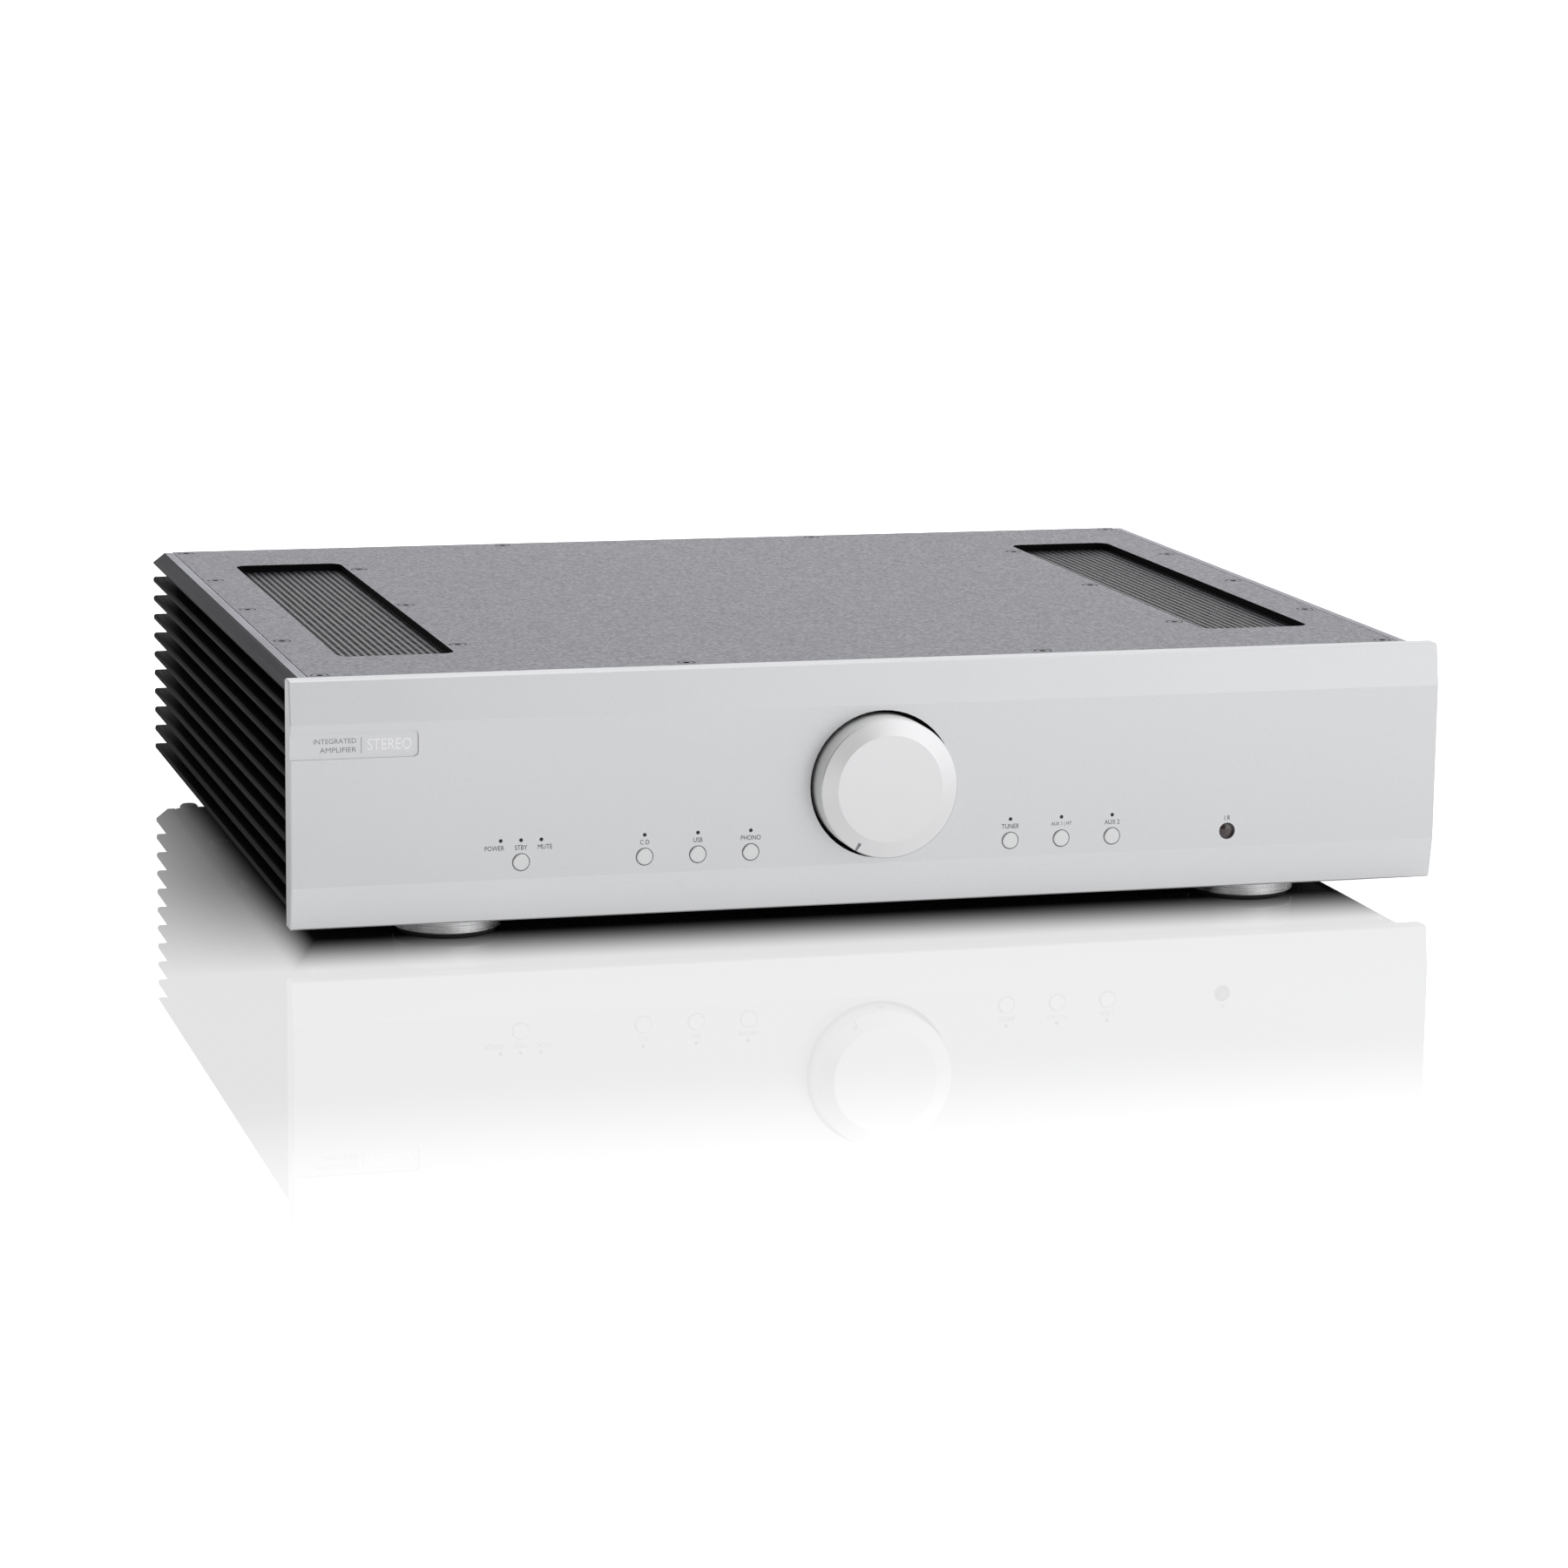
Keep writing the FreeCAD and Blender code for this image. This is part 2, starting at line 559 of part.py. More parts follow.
def top_cover():
    x = (-COVER_HALF_WIDTH, COVER_HALF_WIDTH)
    plate = block(x, (Y_CHASSIS + 0.3, Y_REAR), (Z_COVER, Z_COVER_TOP))
    cuts = []
    z = (Z_COVER - 1, Z_COVER_TOP + 1)
    window_y = (VENT_Y - VENT_HALF_LENGTH, VENT_Y + VENT_HALF_LENGTH)
    window = rounded_plate(VENT_X, window_y, z, VENT_CORNER)
    cuts += [window, mirrored(window)]
    for hx, hy in cover_holes():
        cuts.append(turned_z(hx, hy, [
            (0, Z_COVER_TOP + 1), (COVER_HOLE, Z_COVER_TOP + 1), (COVER_HOLE, Z_COVER_TOP - 0.4),
            (COVER_TAPPED, Z_COVER_TOP - COVER_SINK_DEPTH - 0.4), (COVER_TAPPED, Z_COVER - 1),
            (0, Z_COVER - 1),
        ]))
    return without(plate, cuts)


def cover_screws():
    """Countersunk socket screws, flush with the cover."""
    screws = []
    neck = Z_COVER_TOP - COVER_SINK_DEPTH - 0.3
    for x, y in cover_holes():
        body = turned_z(x, y, [
            (0, Z_COVER_TOP), (COVER_HEAD - 0.3, Z_COVER_TOP), (COVER_HEAD, Z_COVER_TOP - 0.25),
            (COVER_HEAD, Z_COVER_TOP - 0.4), (COVER_SHANK, neck), (COVER_SHANK, Z_COVER - 4),
            (0, Z_COVER - 4),
        ])
        socket = hexagon_z(x, y, Z_COVER_TOP - 1.2, 2.5, 2)
        screws.append(body.cut(socket))
    return group(screws)


def vent_mesh_right():
    """The sheet under the cover's window, with tapped bosses on its inner border."""
    half = MESH_HALF_LENGTH
    top = Z_COVER
    plate = rounded_plate(MESH_X, (VENT_Y - half, VENT_Y + half), (top - MESH_THICKNESS, top), 3.0)
    bosses = [rod_z(VENT_SCREW_X, y, BOSS_RADIUS, (top - BOSS_HEIGHT, top - 0.5)) for y in VENT_SCREW_Y]
    holes = [rod_z(VENT_SCREW_X, y, COVER_TAPPED, (top - BOSS_HEIGHT - 1, top + 1)) for y in VENT_SCREW_Y]
    return without(joined([plate] + bosses), holes)


def rear_cutouts():
    """Every hole in the rear panel."""
    y = (Y_REAR - SHEET - 1, Y_REAR + 1)
    holes = [
        block((INLET_X - 13.6, ROCKER_X + 8.6), y, (SOCKET_Z - 11.6, SOCKET_Z + 11.6)),
        block((USB_X - 6.0, USB_X + 6.0), y, (USB_Z - 5.5, USB_Z + 5.5)),
        rod_y(GROUND_X, GROUND_Z, 2.0 + RUNNING_GAP, y),
    ]
    holes += [rod_y(x, z, 4.6, y) for x in RCA_X for z in RCA_Z]
    holes += [rod_y(x, SPEAKER_Z, 5.0, y) for x in SPEAKER_X]
    holes += [rod_y(side * SINK_END_X, z, CASE_TAPPED, y) for side in (-1, 1) for z in SINK_END_Z]
    return holes


def rear_panel():
    inner = Y_REAR - SHEET
    plate = block((-REAR_HALF_WIDTH, REAR_HALF_WIDTH), (inner, Y_REAR), (Z_BASE, Z_COVER))
    y = (Y_REAR - FLANGE, Y_REAR)
    width = (-SINK_INNER + 1, SINK_INNER - 1)
    top = block(width, y, (Z_COVER - SHEET, Z_COVER))
    bottom = block(width, y, (Z_FLOOR, Z_FLOOR + SHEET))
    boss_z = (Z_COVER - 5, Z_COVER - 1)
    bosses = [rod_z(x, EDGE_SCREW_Y[1], BOSS_RADIUS, boss_z) for x in (-EDGE_SCREW_X, EDGE_SCREW_X)]
    holes = rear_cutouts()
    for x in (-EDGE_SCREW_X, EDGE_SCREW_X):
        holes.append(rod_z(x, EDGE_SCREW_Y[1], COVER_TAPPED, (Z_COVER - 6, Z_COVER + 1)))
    for x in BASE_EDGE_X:
        holes.append(rod_z(x, BASE_EDGE_Y[1], CASE_TAPPED, (Z_FLOOR - 1, Z_FLOOR + SHEET + 1)))
    return without(joined([plate, top, bottom] + bosses), holes)


def pan_screw(length):
    """An M4 pan-head screw standing up from the origin: head below, shank above, cross recess."""
    edge = 0.8
    body = turned_z(0, 0, [
        (0, -CASE_HEAD_HEIGHT), (CASE_HEAD - edge, -CASE_HEAD_HEIGHT),
        (CASE_HEAD, -CASE_HEAD_HEIGHT + edge), (CASE_HEAD, 0), (CASE_SHANK, 0), (CASE_SHANK, length),
        (0, length),
    ])
    arm = block((-2.0, 2.0), (-0.4, 0.4), (-CASE_HEAD_HEIGHT - 1, -CASE_HEAD_HEIGHT + 1.3))
    other = block((-0.4, 0.4), (-2.0, 2.0), (-CASE_HEAD_HEIGHT - 1, -CASE_HEAD_HEIGHT + 1.3))
    return without(body, [arm, other])


def placed_screw(length, seat, direction):
    """A pan screw whose head sits on the point seat and whose shank runs along direction."""
    screw = pan_screw(length)
    turn = FreeCAD.Rotation(Vector(0, 0, 1), direction)
    screw.Placement = FreeCAD.Placement(seat, turn)
    return screw


def case_screws():
    up = Vector(0, 0, 1)
    screws = []
    for side in (-1, 1):
        for y in SIDE_SCREW_Y:
            screws.append(placed_screw(8.5, Vector(side * SIDE_SCREW_X, y, Z_BASE), up))
        for z in SINK_END_Z:
            screws.append(placed_screw(9.0, Vector(side * SINK_END_X, Y_REAR, z), Vector(0, -1, 0)))
        for z in BRACKET_SCREW_Z:
            seat = Vector(side * (SINK_INNER - SHEET), BRACKET_SCREW_Y, z)
            screws.append(placed_screw(8.0, seat, Vector(side, 0, 0)))
        for y in FOOT_Y:
            screws.append(placed_screw(8.5, Vector(side * FOOT_X, y, FOOT_SCREW_SEAT), up))
    for x in BASE_EDGE_X:
        for y in BASE_EDGE_Y:
            screws.append(placed_screw(6.0, Vector(x, y, Z_BASE), up))
    for x, z in FASCIA_SCREWS:
        screws.append(placed_screw(8.5, Vector(x, Y_CHASSIS + SHEET, z), Vector(0, -1, 0)))
    return group(screws)


# ---- Feet -------------------------------------------------------------------------------------
def foot(x, y):
    """A turned metal foot, recessed below for its pad and for the screw's head."""
    edge = 0.5
    body = turned_z(x, y, [
        (0, Z_FOOT), (FOOT_RADIUS - edge, Z_FOOT), (FOOT_RADIUS, Z_FOOT + edge),
        (FOOT_RADIUS, Z_BASE - edge), (FOOT_RADIUS - edge, Z_BASE), (0, Z_BASE),
    ])
    cuts = [
        rod_z(x, y, PAD_RADIUS + 0.1, (Z_FOOT - 1, PAD_HEIGHT)),
        rod_z(x, y, CASE_HEAD + 0.4, (Z_FOOT, FOOT_SCREW_SEAT)),
        rod_z(x, y, CASE_TAPPED, (Z_FOOT, Z_BASE + 1)),
    ]
    return without(body, cuts)


def feet():
    return group([foot(x, y) for x in (-FOOT_X, FOOT_X) for y in FOOT_Y])


def foot_pads():
    """A rubber ring under each foot, open in the middle for the screw."""
    pads = []
    for x in (-FOOT_X, FOOT_X):
        for y in FOOT_Y:
            pads.append(turned_z(x, y, [
                (PAD_HOLE, 0), (PAD_RADIUS - 0.6, 0), (PAD_RADIUS, 0.6),
                (PAD_RADIUS, PAD_HEIGHT), (PAD_HOLE, PAD_HEIGHT),
            ]))
    return group(pads)


# ---- Inside -----------------------------------------------------------------------------------
def toroid_ring(inner, outer, z, edge):
    """A ring about the transformer's axis, with all four of its corners rounded."""
    ring = rod_z(0, TOROID_Y, outer, z).cut(rod_z(0, TOROID_Y, inner, (z[0] - 1, z[1] + 1)))
    circles = [e for e in ring.Edges if isinstance(e.Curve, Part.Circle)]
    return ring.makeFillet(edge, circles) if edge else ring


def transformer():
    return toroid_ring(TOROID_INNER, TOROID_OUTER, (Z_TOROID, Z_TOROID_TOP), TOROID_ROUND)


def transformer_pads():
    rings = [(Z_FLOOR, Z_TOROID), (Z_TOROID_TOP, Z_TOROID_TOP + PAD)]
    return group([toroid_ring(8.0, 44.0, z, 0) for z in rings])


def transformer_clamp():
    """The round plate on top, dished into the winding's eye."""
    z = Z_TOROID_TOP + PAD
    return turned_z(0, TOROID_Y, [
        (4.0, z), (46.0, z), (46.0, z + 1.0), (44.0, z + 2.0), (4.0, z + 2.0),
    ])


def transformer_bolt():
    """A bolt through plate, winding and base, with its nut below."""
    seat = Z_TOROID_TOP + PAD + 2.0
    head = hexagon_z(0, TOROID_Y, seat, 13.0, 5.3)
    shank = rod_z(0, TOROID_Y, 4.0, (Z_BASE - 5.5, seat + 1))
    nut = hexagon_z(0, TOROID_Y, Z_BASE - 4.5, 13.0, 4.5).cut(rod_z(0, TOROID_Y, 4.0, (0, Z_BASE)))
    return group([joined([head, shank]), nut])


def power_board():
    x0, x1, y0, y1 = POWER_BOARD
    return block((x0, x1), (y0, y1), (BOARD_Z, BOARD_Z + BOARD))


def reservoir_capacitors():
    """Four cans with a rolled groove near the base."""
    z = BOARD_Z + BOARD
    cans = []
    for x in (-22.0, 22.0):
        for y in (69.0, 110.0):
            cans.append(turned_z(x, y, [
                (0, z), (17.0, z), (17.0, z + 3), (16.3, z + 4), (17.0, z + 5),
                (17.0, z + 49), (16.0, z + 50), (0, z + 50),
            ]))
    return group(cans)


def amp_board_right():
    return block(AMP_BOARD_X, (-AMP_BOARD_HALF, AMP_BOARD_HALF), (BOARD_Z, BOARD_Z + BOARD))


def output_transistors():
    """Flat power packages on the heatsinks, each with three legs down to its board."""
    packages = []
    for side in (-1, 1):
        for y in (-90.0, -30.0, 30.0, 90.0):
            body = block((SINK_INNER - 5, SINK_INNER), (y - 7.8, y + 7.8), (34, 54))
            leg_z = (BOARD_Z + BOARD, 35)
            legs = [block((194.9, 195.7), (y + o - 0.6, y + o + 0.6), leg_z) for o in (-5.4, 0, 5.4)]
            package = joined([body] + legs)
            packages.append(package if side > 0 else mirrored(package))
    return group(packages)


def preamp_board():
    x0, x1, z0, z1 = PREAMP_BOARD
    return block((x0, x1), (PREAMP_BOARD_Y, PREAMP_BOARD_Y + BOARD), (z0, z1))


def board_standoffs():
    """Posts that hold every board off the metal behind it."""
    posts = []
    for x in (-170.0, -140.0, 140.0, 170.0):
        posts += [rod_z(x, y, 3.0, (Z_FLOOR, BOARD_Z)) for y in (-112.0, 0.0, 112.0)]
    for x in (-56.0, 56.0):
        posts += [rod_z(x, y, 3.0, (Z_FLOOR, BOARD_Z)) for y in (54.0, 126.0)]
    back = Y_CHASSIS + SHEET
    posts += [rod_y(x, 23.4, 2.2, (back, FRONT_BOARD_Y)) for x in (-142.0, -60.0, 60.0, 142.0)]
    posts += [rod_y(x, 45.6, 2.2, (back, FRONT_BOARD_Y)) for x in (-142.0, -60.0, 60.0, 142.0)]
    inner = Y_REAR - SHEET
    posts += [rod_y(x, 83.0, 3.0, (PREAMP_BOARD_Y + BOARD, inner)) for x in (50.0, 150.0)]
    posts += [rod_y(x, 29.5, 2.6, (PREAMP_BOARD_Y + BOARD, inner)) for x in (50.0, 150.0)]
    return group(posts)


def arc_wire(points, bend):
    """Straight runs joined by tangent arcs of radius bend."""
    edges = []
    start = points[0]
    for before, corner, after in zip(points, points[1:], points[2:]):
        into = (corner - before).normalize()
        out = (after - corner).normalize()
        half_turn = into.getAngle(out) / 2
        setback = bend * math.tan(half_turn)
        entry = corner - into * setback
        leave = corner + out * setback
        middle_way = (out - into).normalize()
        middle = corner + middle_way * (bend / math.cos(half_turn) - bend)
        edges.append(Part.LineSegment(start, entry).toShape())
        edges.append(Part.Arc(entry, middle, leave).toShape())
        start = leave
    edges.append(Part.LineSegment(start, points[-1]).toShape())
    return Part.Wire(edges)


def lead(route, radius, bend):
    """A round wire along a route of (x, y, z) corners."""
    points = [Vector(*corner) for corner in route]
    path = arc_wire(points, bend)
    direction = points[1] - points[0]
    section = Part.Wire(Part.makeCircle(radius, points[0], direction))
    return path.makePipeShell([section], True, False)


def ribbon():
    """The flat cable from the front board, along the floor, to the preamp board."""
    x = (82.0, 104.0)
    front = FRONT_BOARD_Y + BOARD
    thickness = 1.0
    runs = [
        block(x, (front, front + 6), (31.0, 32.0)),
        block(x, (front + 5, front + 6), (14.9, 32.0)),
        block(x, (front + 5, 139.0), (14.9, 14.9 + thickness)),
        block(x, (138.0, 139.0), (14.9, 50.0)),
        block(x, (138.0, PREAMP_BOARD_Y), (49.0, 50.0)),
    ]
    return joined(runs)


def transformer_leads():
    """Four secondary leads from the winding down to the power board."""
    radius = 1.3
    leads = []
    for x in (-18.0, -6.0, 6.0, 18.0):
        start = TOROID_Y + math.sqrt(TOROID_OUTER ** 2 - (abs(x) - radius) ** 2) + 0.05
        end = POWER_BOARD[2] + 2.3
        route = [(x, start, 40), (x, start + 8, 40), (2.6 * x, end, 38), (2.6 * x, end, BOARD_Z + BOARD)]
        leads.append(lead(route, radius, 3.0))
    return leads


def mains_wires():
    """Live and neutral from the inlet's pins to the transformer."""
    start = Y_REAR - 32.0
    z = SOCKET_Z - 1.6
    end = -TOROID_OUTER - 0.05
    inner = [
        (INLET_X + 7, start, z), (INLET_X + 7, start - 12, z), (-100, 40, 42), (-80, TOROID_Y, 42),
        (end, TOROID_Y, 42),
    ]
    outer = [
        (INLET_X - 7, start, z), (INLET_X - 7, start - 16, z), (-110, 30, 34), (-86, TOROID_Y, 34),
        (end, TOROID_Y, 34),
    ]
    return [lead(inner, 1.5, 4.0), lead(outer, 1.5, 4.0)]


def speaker_wires():
    """A pair from each amplifier board to its two speaker studs."""
    board = BOARD_Z + BOARD
    end = Y_REAR - 14.0
    x1, x2, x3, x4 = SPEAKER_X
    routes = [
        [(-148, 92, board), (-148, 92, 58), (x1, 138, SPEAKER_Z), (x1, end, SPEAKER_Z)],
        [(-156, 80, board), (-156, 80, 62), (x2, 136, SPEAKER_Z), (x2, end, SPEAKER_Z)],
        [(142, 58, board), (142, 58, 60), (62, 135, 60), (x3, 135, SPEAKER_Z), (x3, end, SPEAKER_Z)],
        [(134, 76, board), (134, 76, 60), (60, 143, 60), (x4, 143, SPEAKER_Z), (x4, end, SPEAKER_Z)],
    ]
    return [lead(route, 1.5, 3.0) for route in routes]


def wiring_harness():
    return group([ribbon()] + transformer_leads() + mains_wires() + speaker_wires())


# ---- Rear connectors --------------------------------------------------------------------------
def mains_inlet():
    """One moulded module: the inlet's shroud and the pocket of the switch."""
    flange_y = (Y_REAR, Y_REAR + 2.5)
    x = (INLET_X - 16.0, ROCKER_X + 11.0)
    flange = rounded_plate_y(x, flange_y, (SOCKET_Z - 14.5, SOCKET_Z + 14.5), 3.0)
    body_z = (SOCKET_Z - 11.5, SOCKET_Z + 11.5)
    body = block((INLET_X - 13.5, ROCKER_X + 8.5), (Y_REAR - 29.0, Y_REAR + 1), body_z)
    pocket_z = (SOCKET_Z - 10, SOCKET_Z + 10)
    pocket = block((ROCKER_X - 6.5, ROCKER_X + 6.5), (Y_REAR - 7.5, Y_REAR + 4), pocket_z)
    pivots = rod_x(Y_REAR - 3.5, SOCKET_Z, 1.08, (ROCKER_X - 7.6, ROCKER_X + 7.6))
    return without(joined([flange, body]), [inlet_cavity(), pocket, pivots] + inlet_pin_shapes())


def inlet_cavity():
    """The appliance inlet's well, with its two upper corners cut off."""
    half_w = 12.25
    half_h = 8.45
    corner = 4.8
    outline = [
        (-half_w, -half_h), (half_w, -half_h), (half_w, half_h - corner),
        (half_w - corner, half_h), (-half_w + corner, half_h), (-half_w, half_h - corner),
    ]
    y = Y_REAR - 15.0
    points = [Vector(INLET_X + x, y, SOCKET_Z + z) for x, z in outline]
    return prism(points, Vector(0, 20, 0))


def inlet_pin_shapes():
    """Line, neutral and, a little higher, earth."""
    pins = []
    for dx, dz in ((-7.0, -1.6), (7.0, -1.6), (0.0, 2.4)):
        x = INLET_X + dx
        z = SOCKET_Z + dz
        pins.append(block((x - 1.0, x + 1.0), (Y_REAR - 32.0, Y_REAR - 2.2), (z - 2.0, z + 2.0)))
    return pins


def inlet_pins():
    return group(inlet_pin_shapes())


def mains_rocker():
    """The rocker, resting with its lower end in: two faces meeting in a shallow valley."""
    outline = [
        (5.0, -8.6), (3.4, 0.0), (5.0, 8.6), (0.5, 8.4), (-1.6, 5.0), (-1.6, -5.0), (0.5, -8.4),
    ]
    pivot_y = Y_REAR - 3.5
    half = 6.1
    points = [Vector(ROCKER_X - half, pivot_y + y, SOCKET_Z + z) for y, z in outline]
    body = prism(points, Vector(2 * half, 0, 0))
    pins = rod_x(pivot_y, SOCKET_Z, 1.0, (ROCKER_X - 7.4, ROCKER_X + 7.4))
    rocker = joined([body, pins])
    rocker.rotate(Vector(0, pivot_y, SOCKET_Z), Vector(1, 0, 0), -ROCKER_TILT)
    return rocker


def rca_sockets():
    """Metal barrels with a shoulder outside and a stem that reaches the preamp board."""
    barrels = []
    for x in RCA_X:
        for z in RCA_Z:
            barrel = turned_y(x, z, [
                (3.3, PREAMP_BOARD_Y + BOARD), (3.9, PREAMP_BOARD_Y + BOARD), (3.9, Y_REAR + 2.2),
                (5.6, Y_REAR + 2.2), (5.6, Y_REAR + 3.2), (4.15, Y_REAR + 3.2),
                (4.15, Y_REAR + 11.2), (3.85, Y_REAR + 11.5), (3.3, Y_REAR + 11.5),
            ])
            barrels.append(barrel)
    return group(barrels)


def rca_insulators():
    """A coloured washer behind each barrel and a core with the pin's hole inside it."""
    pieces = []
    for x in RCA_X:
        for z in RCA_Z:
            pieces.append(turned_y(x, z, [
                (3.95, Y_REAR - SHEET), (4.55, Y_REAR - SHEET), (4.55, Y_REAR), (7.2, Y_REAR),
                (7.2, Y_REAR + 1.8), (6.8, Y_REAR + 2.2), (3.95, Y_REAR + 2.2),
            ]))
            pieces.append(turned_y(x, z, [
                (1.65, Y_REAR - 8), (3.3, Y_REAR - 8), (3.3, Y_REAR + 10.5), (1.65, Y_REAR + 10.5),
            ]))
    return group(pieces)


def usb_socket():
    """A square data socket: shell with a tongue set back from its mouth."""
    y = (Y_REAR - 14.4, Y_REAR + 1.0)
    shell = block((USB_X - 6.0, USB_X + 6.0), y, (USB_Z - 5.5, USB_Z + 5.5))
    mouth = block((USB_X - 4.3, USB_X + 4.3), (Y_REAR - 10.0, Y_REAR + 2), (USB_Z - 4.0, USB_Z + 4.0))
    tongue = block((USB_X - 2.8, USB_X + 2.8), (Y_REAR - 11.0, Y_REAR - 3.6), (USB_Z - 1.6, USB_Z + 1.6))
    return joined([shell.cut(mouth), tongue])


def fluted(body, x, z, radius, count, y):
    """Grip flutes cut along a round body."""
    cutter = radius * math.pi / count * 0.42
    flutes = []
    for i in range(count):
        angle = 2 * math.pi * i / count
        flutes.append(rod_y(x + radius * math.cos(angle), z + radius * math.sin(angle), cutter, y))
    return without(body, flutes)


def ground_thumbscrew():
    """A knurled thumbscrew for an earth lead."""
    body = turned_y(GROUND_X, GROUND_Z, [
        (0, Y_REAR - 8), (2.0, Y_REAR - 8), (2.0, Y_REAR + 1.2), (5.2, Y_REAR + 1.2), (5.2, Y_REAR + 9.5),
        (4.6, Y_REAR + 10.0), (0, Y_REAR + 10.0),
    ])
    return fluted(body, GROUND_X, GROUND_Z, 5.4, 20, (Y_REAR + 2.0, Y_REAR + 11.0))


def speaker_insulators():
    """A flanged bush that keeps each stud clear of the panel."""
    bushes = []
    for x in SPEAKER_X:
        bushes.append(turned_y(x, SPEAKER_Z, [
            (STUD_RADIUS, Y_REAR - SHEET - 3), (6.5, Y_REAR - SHEET - 3), (6.5, Y_REAR - SHEET),
            (4.95, Y_REAR - SHEET), (4.95, Y_REAR), (8.6, Y_REAR), (8.6, Y_REAR + 3.4), (8.0, Y_REAR + 4.0),
            (STUD_RADIUS, Y_REAR + 4.0),
        ]))
    return group(bushes)


def speaker_studs():
    """Threaded studs, hollow at the end for a 4 mm plug."""
    studs = []
    for x in SPEAKER_X:
        studs.append(turned_y(x, SPEAKER_Z, [
            (0, Y_REAR - 14), (STUD_RADIUS, Y_REAR - 14), (STUD_RADIUS, Y_CAP_END - 1.0),
            (BANANA_RADIUS, Y_CAP_END - 1.0), (BANANA_RADIUS, Y_CAP_END - 19.0), (0, Y_CAP_END - 19.0),
        ]))
    return group(studs)


def speaker_washer(x):
    """The washer that clamps a bare wire against the bush."""
    bore = STUD_RADIUS + RUNNING_GAP
    return turned_y(x, SPEAKER_Z, [
        (bore, WASHER_Y), (6.2, WASHER_Y), (6.2, WASHER_Y + 1.5), (bore, WASHER_Y + 1.5),
    ])


def speaker_cap(x):
    """The grip nut that turns on the stud."""
    bore = STUD_RADIUS + RUNNING_GAP
    body = turned_y(x, SPEAKER_Z, [
        (bore, CAP_Y), (6.6, CAP_Y), (CAP_RADIUS, CAP_Y + 1.0), (CAP_RADIUS, Y_CAP_END - 1.2),
        (CAP_RADIUS - 1.2, Y_CAP_END), (bore, Y_CAP_END),
    ])
    return fluted(body, x, SPEAKER_Z, CAP_RADIUS + 0.3, CAP_FLUTES, (CAP_Y + 3.0, Y_CAP_END - 3.0))


# ---- Everything together ----------------------------------------------------------------------
def build():
    parts = {
        "front_panel": front_panel(),
        "ir_window": ir_window(),
        "ir_receiver": ir_receiver(),
        "light_pipes": light_pipes(),
        "standby_button": push_button(STANDBY_X),
        "tact_switches": tact_switches(),
        "front_board": front_board(),
        "volume_knob": volume_knob(),
        "knob_setscrew": knob_setscrew(),
        "volume_shaft": volume_shaft(),
        "volume_pot": volume_pot(),
        "pot_nut": pot_nut(),
        "volume_motor": volume_motor(),
        "front_bracket": front_bracket(),
        "chassis_base": chassis_base(),
        "heatsink_right": heatsink_right(),
        "heatsink_left": mirrored(heatsink_right()),
        "top_cover": top_cover(),
        "cover_screws": cover_screws(),
        "vent_mesh_right": vent_mesh_right(),
        "vent_mesh_left": mirrored(vent_mesh_right()),
        "rear_panel": rear_panel(),
        "case_screws": case_screws(),
        "feet": feet(),
        "foot_pads": foot_pads(),
        "transformer": transformer(),
        "transformer_pads": transformer_pads(),
        "transformer_clamp": transformer_clamp(),
        "transformer_bolt": transformer_bolt(),
        "power_board": power_board(),
        "reservoir_capacitors": reservoir_capacitors(),
        "amp_board_right": amp_board_right(),
        "amp_board_left": mirrored(amp_board_right()),
        "output_transistors": output_transistors(),
        "preamp_board": preamp_board(),
        "board_standoffs": board_standoffs(),
        "wiring_harness": wiring_harness(),
        "mains_inlet": mains_inlet(),
        "inlet_pins": inlet_pins(),
        "mains_rocker": mains_rocker(),
        "rca_sockets": rca_sockets(),
        "rca_insulators": rca_insulators(),
        "usb_socket": usb_socket(),
        "ground_thumbscrew": ground_thumbscrew(),
        "speaker_insulators": speaker_insulators(),
        "speaker_studs": speaker_studs(),
    }
    for name, x in INPUT_X.items():
        parts[name + "_button"] = push_button(x)
    for number, x in enumerate(SPEAKER_X, 1):
        parts["speaker_washer_" + str(number)] = speaker_washer(x)
        parts["speaker_cap_" + str(number)] = speaker_cap(x)
    return parts


os.makedirs("parts", exist_ok=True)
for part_name, part_shape in build().items():
    save(part_name, part_shape)
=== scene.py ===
"""The looks of a full-width integrated amplifier: materials, vents, lettering, light and camera."""
import json
import math

import bmesh
import bpy
from mathutils import Matrix, Vector


